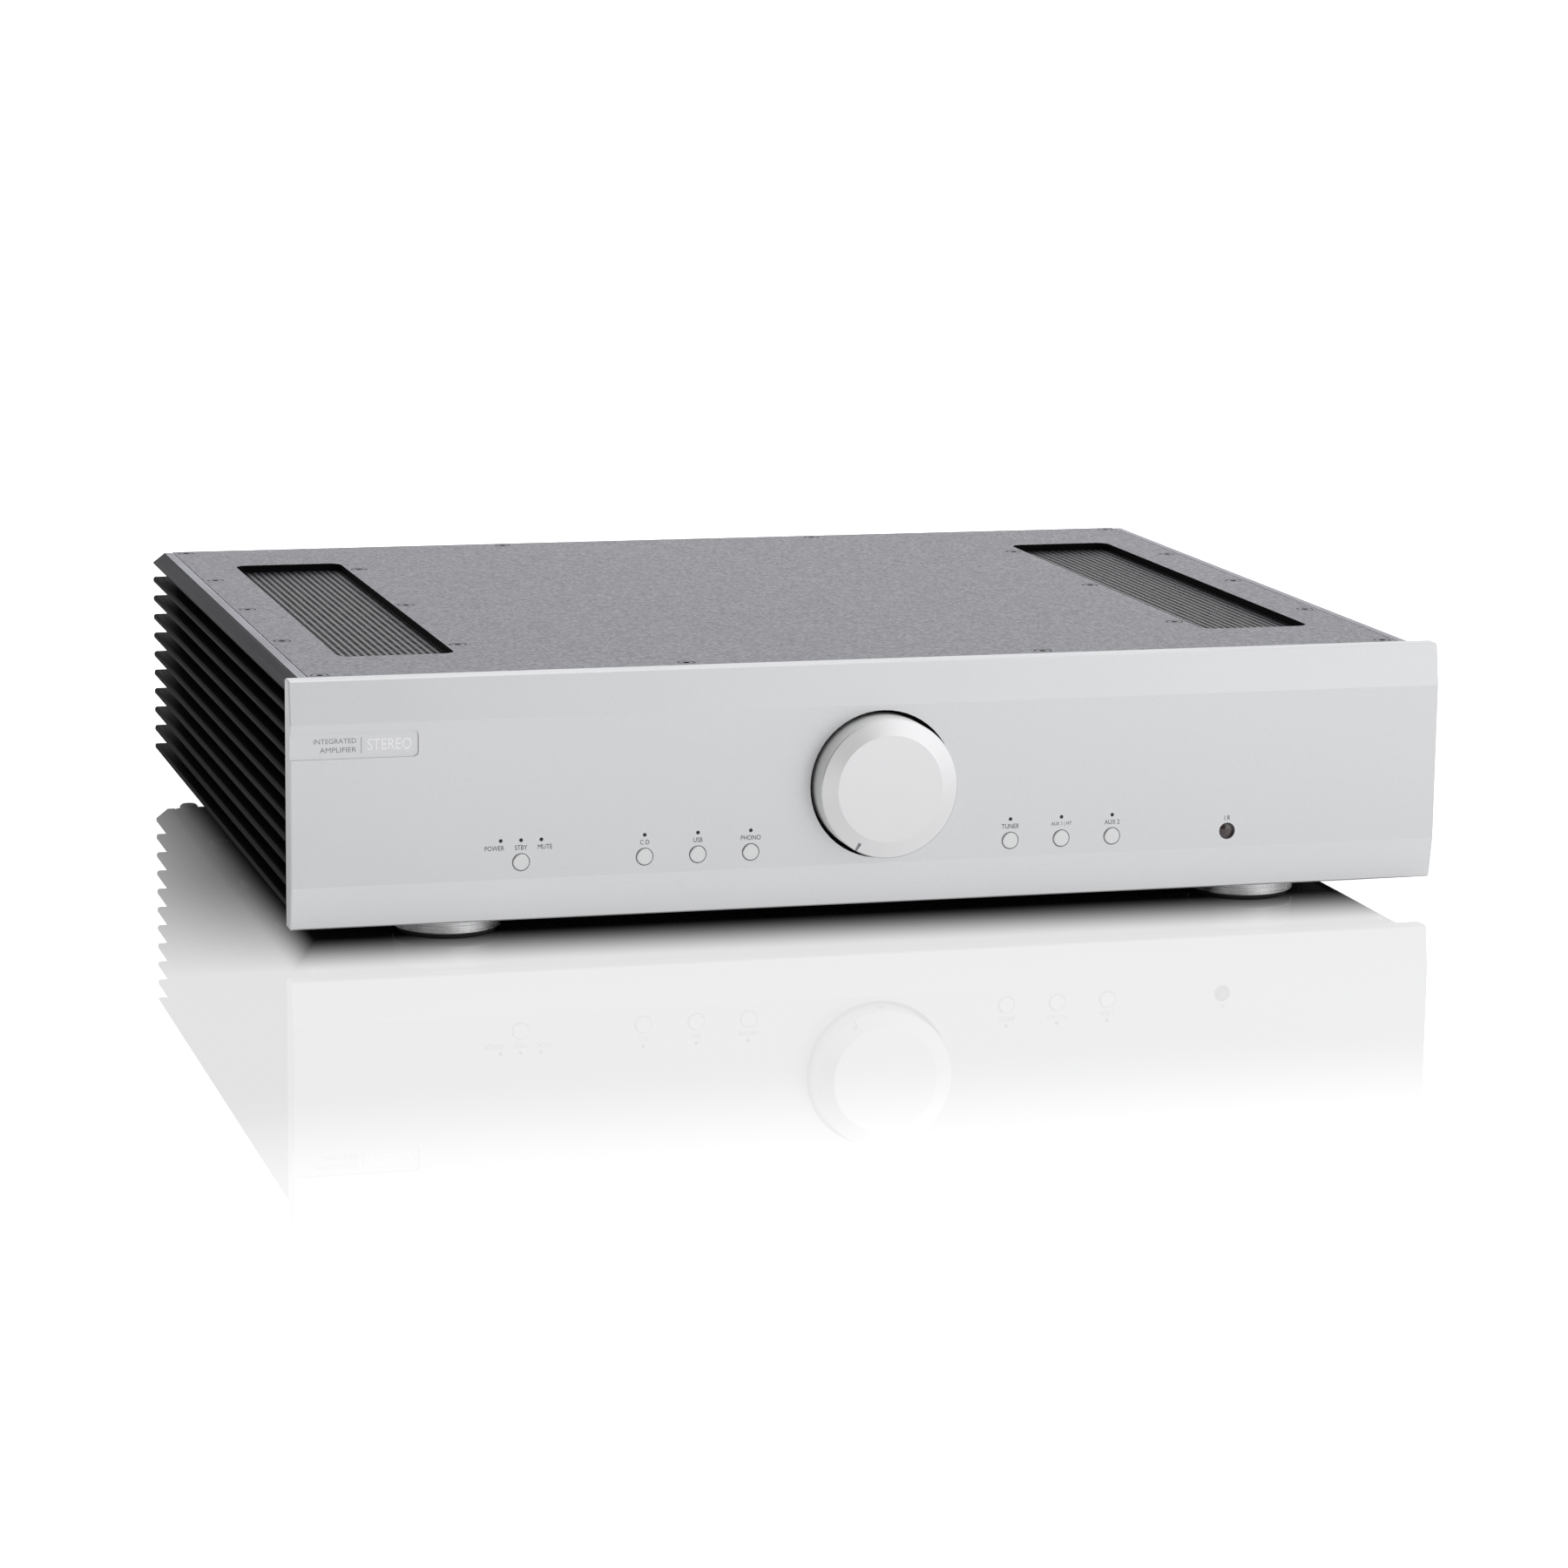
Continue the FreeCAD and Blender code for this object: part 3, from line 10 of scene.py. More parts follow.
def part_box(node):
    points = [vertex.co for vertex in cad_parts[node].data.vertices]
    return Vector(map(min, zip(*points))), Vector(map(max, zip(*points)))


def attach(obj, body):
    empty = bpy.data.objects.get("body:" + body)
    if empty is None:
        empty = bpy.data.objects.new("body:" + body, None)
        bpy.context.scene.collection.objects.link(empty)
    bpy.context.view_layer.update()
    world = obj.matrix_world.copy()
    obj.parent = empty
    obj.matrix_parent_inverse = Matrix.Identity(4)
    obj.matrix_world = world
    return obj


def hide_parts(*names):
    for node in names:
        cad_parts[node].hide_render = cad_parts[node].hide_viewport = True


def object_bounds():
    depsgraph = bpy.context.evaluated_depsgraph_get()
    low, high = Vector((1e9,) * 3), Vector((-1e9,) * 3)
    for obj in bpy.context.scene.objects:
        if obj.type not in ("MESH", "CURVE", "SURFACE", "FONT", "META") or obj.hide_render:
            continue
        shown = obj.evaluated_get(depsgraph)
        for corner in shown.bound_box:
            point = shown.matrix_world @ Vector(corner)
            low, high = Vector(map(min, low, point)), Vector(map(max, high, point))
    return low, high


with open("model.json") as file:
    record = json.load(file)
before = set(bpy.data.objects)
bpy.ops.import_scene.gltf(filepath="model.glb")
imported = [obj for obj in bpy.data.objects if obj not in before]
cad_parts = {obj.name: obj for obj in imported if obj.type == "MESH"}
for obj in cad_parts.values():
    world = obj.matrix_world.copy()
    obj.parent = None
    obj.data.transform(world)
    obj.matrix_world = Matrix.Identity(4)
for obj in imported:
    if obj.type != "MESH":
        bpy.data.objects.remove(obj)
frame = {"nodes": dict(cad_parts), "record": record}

MM = 0.001
cad_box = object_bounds()


# ---- Where things are, read from the frame ----------------------------------------------------
def middle(node):
    """The centre of a CAD node's box."""
    low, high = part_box(node)
    return (low + high) / 2


def front_of(node):
    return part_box(node)[0].y


def back_of(node):
    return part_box(node)[1].y


KNOB_AXIS = middle("volume_shaft")
FACE_Y = front_of("front_panel")
REAR_Y = back_of("rear_panel")
LEFT_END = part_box("front_panel")[0].x
COVER_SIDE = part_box("top_cover")[1].x
COVER_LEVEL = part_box("top_cover")[1].z
FEET = middle("feet")
FEET_LOW, FEET_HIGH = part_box("feet")
FOOT_RADIUS = 20.0 * MM
FOOT_FOLD = ((FEET_HIGH.x - FEET_LOW.x) / 2 - FOOT_RADIUS, (FEET_HIGH.y - FEET_LOW.y) / 2 - FOOT_RADIUS)


# ---- Material building ------------------------------------------------------------------------
class Nodes:
    """A node tree with short ways to add and join its nodes."""

    def __init__(self, tree):
        self.tree = tree

    def add(self, kind, inputs=None, **settings):
        """A node with its settings; each input is a value or a socket to link."""
        item = self.tree.nodes.new("ShaderNode" + kind)
        for key, value in settings.items():
            setattr(item, key, value)
        for key, value in (inputs or {}).items():
            if isinstance(value, bpy.types.NodeSocket):
                self.link(value, item.inputs[key])
            else:
                item.inputs[key].default_value = value
        return item

    def link(self, source, target):
        self.tree.links.new(source, target)

    def math(self, operation, a, b=0.0):
        return self.add("Math", {0: a, 1: b}, operation=operation).outputs[0]

    def between(self, value, low, high, start=0.25, end=0.75):
        """value from start to end becomes low to high."""
        inputs = {"Value": value, "From Min": start, "From Max": end, "To Min": low, "To Max": high}
        return self.add("MapRange", inputs).outputs[0]

    def ramp(self, value, start, end, low=0.0, high=1.0):
        """Like between, but easing in and out."""
        inputs = {"Value": value, "From Min": start, "From Max": end, "To Min": low, "To Max": high}
        return self.add("MapRange", inputs, interpolation_type="SMOOTHSTEP").outputs[0]


class Look(Nodes):
    """One procedural material, worked out in the object's own coordinates, in metres."""

    def __init__(self, name, metallic=0.0, **constants):
        self.material = bpy.data.materials.new(name)
        self.material.use_nodes = True
        super().__init__(self.material.node_tree)
        self.tree.nodes.clear()
        self.shader = self.add("BsdfPrincipled", {"Metallic": metallic})
        output = self.add("OutputMaterial")
        self.link(self.shader.outputs["BSDF"], output.inputs["Surface"])
        self.coords = self.add("TexCoord").outputs["Object"]
        self.normal = None
        for socket, value in constants.items():
            self.shader.inputs[socket.replace("_", " ")].default_value = value

    def stretched(self, scale):
        return self.add("Mapping", {"Vector": self.coords, "Scale": scale}).outputs["Vector"]

    def noise(self, size, detail=2.0, stretch=(1, 1, 1)):
        """Soft noise whose blobs are about size metres across."""
        inputs = {"Vector": self.stretched(stretch), "Scale": 1 / size, "Detail": detail}
        return self.add("TexNoise", inputs).outputs[0]

    def cells(self, size):
        """Distance from the middle of cells of about that size."""
        inputs = {"Vector": self.coords, "Scale": 1 / size}
        return self.add("TexVoronoi", inputs).outputs["Distance"]

    def turning(self, size, centre, across=(0, 2), fold=(0, 0)):
        """Fine rings round an axis, or round mirrored axes where fold is their half spacing."""
        split = self.add("SeparateXYZ", {0: self.coords})
        sides = []
        for axis, half in zip(across, fold):
            side = self.math("SUBTRACT", split.outputs[axis], centre[axis])
            if half:
                side = self.math("SUBTRACT", self.math("ABSOLUTE", side), half)
            sides.append(self.math("MULTIPLY", side, side))
        radius = self.math("SQRT", self.math("ADD", *sides))
        rings = self.add("TexNoise", {"W": radius, "Scale": 1 / size, "Detail": 3.0}, noise_dimensions="1D")
        return rings.outputs[0]

    def mix(self, share, a, b):
        return self.add("Mix", {0: share, 6: a, 7: b}, data_type="RGBA").outputs[2]

    def colour(self, share, dark, light):
        """The base colour goes from dark to light as share goes from 0 to 1."""
        self.paint(self.mix(share, rgba(dark), rgba(light)))

    def paint(self, socket):
        self.base = socket
        self.link(socket, self.shader.inputs["Base Color"])

    def rough(self, socket):
        self.link(socket, self.shader.inputs["Roughness"])

    def bump(self, height, depth):
        """Relief whose full swing is depth metres."""
        inputs = {"Height": height, "Distance": depth, "Strength": 1.0}
        if self.normal:
            inputs["Normal"] = self.normal
        self.normal = self.add("Bump", inputs).outputs[0]
        self.link(self.normal, self.shader.inputs["Normal"])

    def worn_edges(self, radius, light, strength):
        """Edges within radius turn towards a lighter colour: faint rubbed wear, and a painted highlight
        along them.
        """
        rounded = self.add("Bevel", {"Radius": radius}, samples=4).outputs[0]
        true = self.add("NewGeometry").outputs["Normal"]
        same = self.add("VectorMath", {0: rounded, 1: true}, operation="DOT_PRODUCT").outputs["Value"]
        patchy = self.between(self.noise(0.004, 4.0), 0.35, 1.0)
        edge = self.math("MULTIPLY", self.between(same, strength, 0.0, 0.8, 0.995), patchy)
        self.paint(self.mix(edge, self.base, rgba(light)))


def rgba(colour):
    """A grey or an RGB triple as four numbers."""
    if isinstance(colour, (int, float)):
        colour = (colour, colour, colour)
    return (*colour, 1.0)


def scaled(colour, factor):
    red, green, blue, _ = rgba(colour)
    return (red * factor, green * factor, blue * factor)


# ---- Materials --------------------------------------------------------------------------------
def blasted_aluminium(name, colour, roughness=0.42):
    """Bead-blasted and anodised aluminium: a fine even sparkle and faint clouding."""
    look = Look(name, metallic=0.9)
    cloud = look.noise(0.05, 4.0)
    grain = look.noise(0.00035, 3.0)
    tone = look.math("ADD", look.between(cloud, 0.0, 0.4), look.between(grain, 0.0, 0.6))
    look.colour(tone, scaled(colour, 0.93), scaled(colour, 1.05))
    look.rough(look.between(cloud, roughness - 0.03, roughness + 0.04))
    look.bump(grain, 0.000012)
    look.bump(look.noise(0.0012, 2.0), 0.000008)
    return look


def turned_aluminium(name, colour, centre, across=(0, 2), fold=(0, 0), roughness=0.3):
    """Anodised aluminium off a lathe, with fine rings about its axis."""
    look = Look(name, metallic=0.95)
    rings = look.turning(0.00025, centre, across, fold)
    cloud = look.noise(0.02, 3.0)
    tone = look.math("ADD", look.between(rings, 0.0, 0.5), look.between(cloud, 0.0, 0.5))
    look.colour(tone, scaled(colour, 0.95), scaled(colour, 1.04))
    look.rough(look.between(cloud, roughness - 0.03, roughness + 0.05))
    look.bump(rings, 0.000006)
    return look


def ringed_foot(name, colour):
    """Turned aluminium foot: rings on its face and very fine grooves round its side."""
    look = turned_aluminium(name, colour, FEET, (0, 1), FOOT_FOLD, 0.14)
    split = look.add("SeparateXYZ", {0: look.coords})
    inputs = {"W": split.outputs["Z"], "Scale": 14000.0, "Detail": 0.0}
    grooves = look.add("TexNoise", inputs, noise_dimensions="1D")
    look.bump(grooves.outputs[0], 0.00003)
    return look


def powder_coat(name, colour, roughness=0.48, texture=0.0007, depth=0.00005, **constants):
    """Fine textured powder coat: packed grains, a few brighter specks, softly uneven gloss."""
    look = Look(name, **constants)
    grains = look.cells(texture)
    fine = look.noise(texture * 0.6, 3.0)
    mottle = look.noise(texture * 1.2, 4.0)
    cloud = look.noise(0.09, 3.0)
    tone = look.math("ADD", look.between(fine, 0.0, 0.3), look.between(cloud, 0.0, 0.15))
    tone = look.math("ADD", tone, look.between(mottle, 0.0, 0.55, 0.35, 0.65))
    look.colour(tone, scaled(colour, 0.72), scaled(colour, 1.32))
    look.rough(look.between(mottle, roughness + 0.08, roughness - 0.08, 0.35, 0.65))
    look.bump(look.math("ADD", look.math("MULTIPLY", grains, -0.6), fine), depth)
    return look


def black_anodised(name, colour, grain_axis, gloss):
    """Extruded aluminium, anodised black, with faint die lines along its length."""
    look = Look(name, Specular_IOR_Level=gloss)
    stretch = [1.0, 1.0, 1.0]
    stretch[grain_axis] = 0.004
    lines = look.noise(0.0009, 4.0, stretch)
    fine = look.noise(0.0005, 2.0)
    cloud = look.noise(0.06, 3.0)
    look.colour(look.between(look.math("ADD", lines, cloud), 0.0, 1.0, 0.7, 1.3), scaled(colour, 0.7),
                scaled(colour, 1.4))
    look.rough(look.between(lines, 0.42, 0.56))
    look.bump(lines, 0.00002)
    look.bump(fine, 0.000008)
    # Lighter edges: faint wear, and a painted highlight along the fin tips and corners.
    look.worn_edges(0.0006, scaled(colour, 6.0), 0.7)
    return look


def plated_steel(name, colour, roughness=0.34, grain=(1, 1, 0.05)):
    """Sheet or turned steel with a bright plating, faint rolling grain and spangle."""
    look = Look(name, metallic=1.0)
    rolled = look.noise(0.0012, 4.0, grain)
    spangle = look.cells(0.009)
    tone = look.math("ADD", look.between(rolled, 0.0, 0.5), look.between(spangle, 0.0, 0.5, 0.0, 0.9))
    look.colour(tone, scaled(colour, 0.82), scaled(colour, 1.08))
    look.rough(look.between(spangle, roughness - 0.06, roughness + 0.08, 0.0, 0.9))
    look.bump(rolled, 0.00001)
    return look


def moulded(name, colour, roughness, depth=0.00001, grain=0.0005, coat=0.0):
    """Moulded plastic: a fine spark-eroded grain and slight flow marks."""
    look = Look(name, Coat_Weight=coat, Coat_Roughness=0.12)
    flow = look.noise(0.012, 3.0)
    skin = look.noise(grain, 2.0)
    look.colour(look.between(flow, 0.0, 1.0), scaled(colour, 0.88), scaled(colour, 1.12))
    look.rough(look.between(skin, max(roughness - 0.06, 0.04), roughness + 0.08))
    look.bump(skin, depth)
    return look


def rubber(name, colour):
    look = Look(name, Specular_IOR_Level=0.35)
    bloom = look.noise(0.008, 5.0)
    skin = look.noise(0.0006, 3.0)
    look.colour(look.between(bloom, 0.0, 1.0), scaled(colour, 0.8), scaled(colour, 1.5))
    look.rough(look.between(skin, 0.68, 0.88))
    look.bump(skin, 0.00003)
    return look


def plated_brass(name, colour):
    """Gold flash over turned brass: bright, with faint tool rings and tarnish."""
    look = Look(name, metallic=1.0)
    tarnish = look.noise(0.006, 4.0)
    rings = look.noise(0.0004, 2.0, (1, 6, 1))
    look.colour(look.between(tarnish, 0.0, 1.0), scaled(colour, 0.86), scaled(colour, 1.05))
    look.rough(look.between(rings, 0.16, 0.28))
    look.bump(rings, 0.000005)
    return look


def circuit_board(name, colour):
    """Solder mask over copper tracks, with silk-screened dashes."""
    look = Look(name, Coat_Weight=0.4, Coat_Roughness=0.15)
    inputs = {"Vector": look.coords, "Scale": 120.0, "Color1": (1, 1, 1, 1), "Color2": (0, 0, 0, 1)}
    tracks = look.add("TexBrick", {**inputs, "Mortar Size": 0.04, "Row Height": 0.4}).outputs["Fac"]
    cloud = look.noise(0.004, 4.0)
    look.colour(look.between(cloud, 0.0, 1.0), scaled(colour, 0.7), scaled(colour, 1.2))
    look.paint(look.mix(look.math("MULTIPLY", tracks, 0.5), look.base, rgba(scaled(colour, 1.9))))
    look.rough(look.between(cloud, 0.28, 0.42))
    look.bump(tracks, 0.00004)
    return look


def taped_winding(name, colour):
    """Overlapping turns of clear yellow tape round the transformer."""
    look = Look(name, Coat_Weight=0.5, Coat_Roughness=0.2)
    split = look.add("SeparateXYZ", {0: look.coords})
    centre = middle("transformer")
    along = look.math("SUBTRACT", split.outputs["Y"], centre.y)
    across = look.math("SUBTRACT", split.outputs["X"], centre.x)
    angle = look.math("ARCTAN2", along, across)
    turns = look.math("FRACT", look.math("MULTIPLY", angle, 9.0))
    edge = look.between(turns, 0.0, 1.0, 0.0, 1.0)
    look.colour(edge, scaled(colour, 0.75), scaled(colour, 1.2))
    look.rough(look.between(look.noise(0.003, 3.0), 0.22, 0.4))
    look.bump(edge, 0.0002)
    return look


def tinted_lens(name, colour):
    """Dark red-brown infrared lens."""
    look = Look(name, Coat_Weight=1.0, Coat_Roughness=0.03, IOR=1.5)
    swirl = look.noise(0.003, 3.0)
    look.colour(look.between(swirl, 0.0, 1.0), colour, scaled(colour, 1.8))
    look.rough(look.between(swirl, 0.07, 0.13))
    look.bump(look.noise(0.0008, 2.0), 0.000002)
    return look


def ink(name, colour, roughness=0.45):
    """Screen-printed ink, slightly uneven where it was pressed on."""
    look = Look(name)
    look.colour(look.between(look.noise(0.0004, 3.0), 0.0, 1.0), scaled(colour, 0.85), scaled(colour, 1.15))
    look.rough(look.between(look.noise(0.0008, 2.0), roughness - 0.05, roughness + 0.1))
    look.bump(look.noise(0.0002, 2.0), 0.000002)
    return look


looks = {
    "fascia": blasted_aluminium("fascia_metal", (0.70, 0.705, 0.72)),
    "knob": turned_aluminium("knob_metal", (0.74, 0.74, 0.75), KNOB_AXIS),
    "button": blasted_aluminium("button_metal", (0.72, 0.725, 0.73), 0.36),
    "cover": powder_coat("cover_coat", (0.088, 0.088, 0.118), 0.31, 0.0012, 0.00012,
                         Specular_Tint=(0.91, 0.91, 1.0, 1.0)),
    "heatsink": black_anodised("heatsink_metal", (0.007, 0.007, 0.008), 1, 0.015),
    "mesh": powder_coat("mesh_coat", (0.045, 0.045, 0.055), 0.34, 0.0005, 0.00002),
    "steel_sheet": plated_steel("zinc_sheet", (0.58, 0.59, 0.60)),
    "rear_sheet": powder_coat("rear_coat", (0.03, 0.03, 0.032), 0.5),
    "black_screw": plated_steel("black_screw_steel", (0.13, 0.13, 0.15), 0.32, (1, 1, 1)),
    "zinc_screw": plated_steel("zinc_screw_steel", (0.62, 0.62, 0.63), 0.3, (1, 1, 1)),
    "foot": ringed_foot("foot_metal", (0.80, 0.80, 0.81)),
    "rubber": rubber("pad_rubber", (0.025, 0.025, 0.025)),
    "window": tinted_lens("remote_lens", (0.02, 0.008, 0.01)),
    "pipe": moulded("pipe_plastic", (0.008, 0.008, 0.009), 0.3, 0.000003),
    "board": circuit_board("board_mask", (0.02, 0.13, 0.05)),
    "component": moulded("component_resin", (0.035, 0.035, 0.037), 0.5, 0.00003),
    "shaft": plated_steel("shaft_steel", (0.6, 0.6, 0.6), 0.28, (1, 6, 1)),
    "nut": plated_steel("nut_nickel", (0.66, 0.64, 0.58), 0.25, (1, 1, 1)),
    "motor": plated_steel("motor_can", (0.56, 0.56, 0.56), 0.3, (1, 0.05, 1)),
    "winding": taped_winding("winding_tape", (0.55, 0.40, 0.10)),
    "capacitor": moulded("capacitor_sleeve", (0.02, 0.02, 0.045), 0.25, 0.000005, 0.0008, 0.4),
    "post": moulded("nylon", (0.72, 0.70, 0.62), 0.45),
    "wire": moulded("wire_jacket", (0.03, 0.03, 0.032), 0.4, 0.000006),
    "inlet": moulded("inlet_plastic", (0.022, 0.022, 0.023), 0.42, 0.00002),
    "pin": plated_brass("pin_plate", (0.70, 0.66, 0.55)),
    "rocker": moulded("rocker_plastic", (0.02, 0.02, 0.021), 0.28, 0.000008, 0.0006, 0.3),
    "gold": plated_brass("gold_plate", (0.86, 0.62, 0.26)),
    "insulator": moulded("white_insulator", (0.72, 0.72, 0.70), 0.3, 0.000006),
    "usb_shell": plated_steel("usb_shell_steel", (0.62, 0.62, 0.62), 0.28, (1, 0.05, 1)),
    "cap_red": moulded("red_cap_plastic", (0.42, 0.012, 0.012), 0.28, 0.000008, 0.0008, 0.4),
    "cap_black": moulded("black_cap_plastic", (0.02, 0.02, 0.02), 0.28, 0.000008, 0.0008, 0.4),
}
red_insulator = moulded("red_insulator", (0.50, 0.015, 0.012), 0.3, 0.000006)
black_core = moulded("socket_core", (0.03, 0.03, 0.03), 0.4)

for part in frame["record"]["subparts"]:
    shown = frame["nodes"][part["node"]]
    shown.data.materials.clear()
    shown.data.materials.append(looks[part["material_slot"]].material)


# ---- Second colours inside one node, and painted light and shade on some faces ----------------
def islands(mesh):
    """The mesh's separate solids, each as a list of polygons."""
    parent = list(range(len(mesh.vertices)))

    def root(i):
        while parent[i] != i:
            parent[i] = parent[parent[i]]
            i = parent[i]
        return i

    seen = {}
    for vertex in mesh.vertices:
        key = tuple(round(c, 6) for c in vertex.co)
        parent[vertex.index] = seen.setdefault(key, vertex.index)
    for edge in mesh.edges:
        parent[root(edge.vertices[0])] = root(edge.vertices[1])
    groups = {}
    for polygon in mesh.polygons:
        groups.setdefault(root(polygon.vertices[0]), []).append(polygon)
    return list(groups.values())


def recolour(node, choose, extra):
    """Solids of a node take the material that choose numbers by centre and size; 0 is its own."""
    mesh = frame["nodes"][node].data
    for look in extra:
        mesh.materials.append(look.material)
    for polygons in islands(mesh):
        corners = [mesh.vertices[i].co for p in polygons for i in p.vertices]
        low = Vector([min(c[i] for c in corners) for i in range(3)])
        high = Vector([max(c[i] for c in corners) for i in range(3)])
        number = choose((low + high) / 2, high - low)
        for polygon in polygons:
            polygon.material_index = number


def rca_colour(centre, size):
    """Cores are black; washers are white in the upper row and red in the lower one."""
    if size.x < 7 * MM:
        return 2
    return 1 if centre.z < middle("rca_insulators").z else 0


def wire_colour(centre, size):
    """The ribbon is grey, transformer leads are yellow, speaker wires alternate red and black."""
    if size.y > 0.25:
        return 1
    if size.y < 0.03:
        return 2
    return 3 if round(centre.x * 500) % 2 else 0


def repaint(node, choose, look):
    """Faces of a node that choose picks, by centre and normal, take another material."""
    mesh = frame["nodes"][node].data
    mesh.materials.append(look.material)
    number = len(mesh.materials) - 1
    for polygon in mesh.polygons:
        if choose(polygon.center, polygon.normal):
            polygon.material_index = number


WELL_RADIUS = 27.7 * MM
BADGE_REACH = 48 * MM
BADGE_HEIGHTS = (70 * MM, 83 * MM)


def in_well(centre, normal):
    """The well round the knob, behind the face."""
    away = math.hypot(centre.x - KNOB_AXIS.x, centre.z - KNOB_AXIS.z)
    return 8 * MM < away < WELL_RADIUS and 0.1 * MM < centre.y - FACE_Y < 8 * MM


def knob_side(centre, normal):
    """The knob's turned rim, which takes painted light."""
    return abs(normal.y) < 0.2 and centre.y < FACE_Y + 10 * MM


def lower_facet(centre, normal):
    """The band along the fascia's foot, which leans back under the face and takes painted light."""
    return -0.5 < normal.z < -0.03 and normal.y < -0.8


def badge_wall(centre, normal):
    """The badge recess's upper wall and rounded end, given painted shade darker than the face."""
    across = LEFT_END + 1 * MM < centre.x < LEFT_END + BADGE_REACH
    inside = across and BADGE_HEIGHTS[0] < centre.z < BADGE_HEIGHTS[1] and centre.y < FACE_Y + 0.6 * MM
    return inside and abs(normal.y) < 0.3 and (normal.z < -0.3 or normal.x < -0.5)


def deepening(name, colour, depth):
    """Blasted metal with painted shade: it fades to black below the face."""
    look = blasted_aluminium(name, colour)
    split = look.add("SeparateXYZ", {0: look.coords})
    below = look.between(split.outputs["Y"], 0.0, 1.0, FACE_Y, FACE_Y + depth)
    look.paint(look.mix(below, look.base, rgba(0.003)))
    return look


def vent_wall(centre, normal):
    """The cut edges of the cover's two windows, which take painted shade."""
    return abs(normal.z) < 0.5 and abs(centre.x) < 200 * MM and abs(centre.y) < 140 * MM


def lip_flat(centre, normal):
    """The heatsink's level strip beside the cover, which takes a painted sheen."""
    return normal.z > 0.9 and centre.z > COVER_LEVEL - 2 * MM and abs(centre.x) > COVER_SIDE


def lip_slope(centre, normal):
    """The heatsink's chamfer beyond the strip, which takes painted light."""
    return 0.4 < normal.z < 0.9 and centre.z > COVER_LEVEL - 8 * MM and abs(centre.x) > COVER_SIDE


# Near black with almost no gloss: painted shade for the window walls and the vent holes' walls.
painted_shade_black = moulded("painted_shade_black", (0.004, 0.004, 0.004), 0.6)
painted_shade_black.shader.inputs["Specular IOR Level"].default_value = 0.05
# A lighter, duller copy of the knob's aluminium: painted light on the knob's rim.
knob_side_painted_light = blasted_aluminium("knob_side_painted_light", (0.86, 0.865, 0.86), 0.55)
knob_side_painted_light.shader.inputs["Metallic"].default_value = 0.3
# A grey, glossier copy of the heatsink's black: painted sheen on the level strip.
flat_painted_sheen = black_anodised("lip_flat_painted_sheen", (0.26, 0.26, 0.30), 1, 0.8)
# A lighter, glossier copy of the heatsink's black: painted light on the chamfer.
slope_painted_light = black_anodised("lip_slope_painted_light", (0.016, 0.016, 0.022), 1, 0.2)
# The knob's well: painted shade, darker the deeper it goes.
repaint("front_panel", in_well, deepening("well_painted_shade", (0.62, 0.62, 0.63), 2.8 * MM))
repaint("volume_knob", knob_side, knob_side_painted_light)
# A lighter copy of the fascia's metal: painted light on its lower band.
repaint("front_panel", lower_facet, blasted_aluminium("fascia_low_painted_light", (0.765, 0.77, 0.785)))
# The badge recess walls take painted shade.
repaint("front_panel", badge_wall, moulded("badge_shade", (0.16, 0.16, 0.165), 0.5))
# The window walls take the near-black painted shade.
repaint("top_cover", vent_wall, painted_shade_black)
for side in ("left", "right"):
    repaint("heatsink_" + side, lip_flat, flat_painted_sheen)
    repaint("heatsink_" + side, lip_slope, slope_painted_light)
frame["nodes"]["chassis_base"].data.materials[0] = looks["rear_sheet"].material

recolour("rca_insulators", rca_colour, [red_insulator, black_core])
recolour("wiring_harness", wire_colour, [
    moulded("ribbon_jacket", (0.35, 0.35, 0.36), 0.45),
    moulded("yellow_jacket", (0.60, 0.42, 0.03), 0.4),
    moulded("red_jacket", (0.40, 0.02, 0.015), 0.4),
])


# ---- Perforated vents -------------------------------------------------------------------------
HOLE_PITCH = 2.5 * MM
HOLE_RADIUS = 1.02 * MM
COLUMN_PITCH = 2.77 * MM
SHEET = 1.0 * MM
VENT_COLUMNS = 18
VENT_ROWS = 97
BOSS_RADIUS = 3.2 * MM
BORE_RADIUS = 1.75 * MM
BOSS_OUT = 142.5 * MM
BOSS_APART = 99.2 * MM
FIELD_SHIFT = 1.9 * MM
CELL_SIDES = 12
WELD = 0.01 * MM


def ring_points(x, y, radii):
    """Points round a centre; radii repeat round the ring, starting from +X."""
    points = []
    for i in range(CELL_SIDES):
        angle = 2 * math.pi * i / CELL_SIDES
        radius = radii[i % len(radii)]
        points.append((x + radius * math.cos(angle), y + radius * math.sin(angle)))
    return points


def wall(mesh, lower, upper):
    """Faces that join two closed rings of vertices."""
    count = len(lower)
    for i in range(count):
        j = (i + 1) % count
        mesh.faces.new((lower[i], lower[j], upper[j], upper[i]))


def outline_rings(mesh, outlines, heights):
    """Vertices along each outline, at the lower height and then at the upper one."""
    return [[mesh.verts.new((x, y, height)) for x, y in line] for height in heights for line in outlines]


def place_of(vertex):
    """Where a vertex is in plan, rounded to a hundredth of a millimetre."""
    return round(vertex.co.x, 5), round(vertex.co.y, 5)


def plate_ring(mesh, outer, inner, z):
    """A closed flat ring between two outlines of equally many points."""
    outer_low, inner_low, outer_high, inner_high = outline_rings(mesh, (outer, inner), z)
    wall(mesh, outer_low, outer_high)
    wall(mesh, inner_high, inner_low)
    wall(mesh, outer_high, inner_high)
    wall(mesh, inner_low, outer_low)


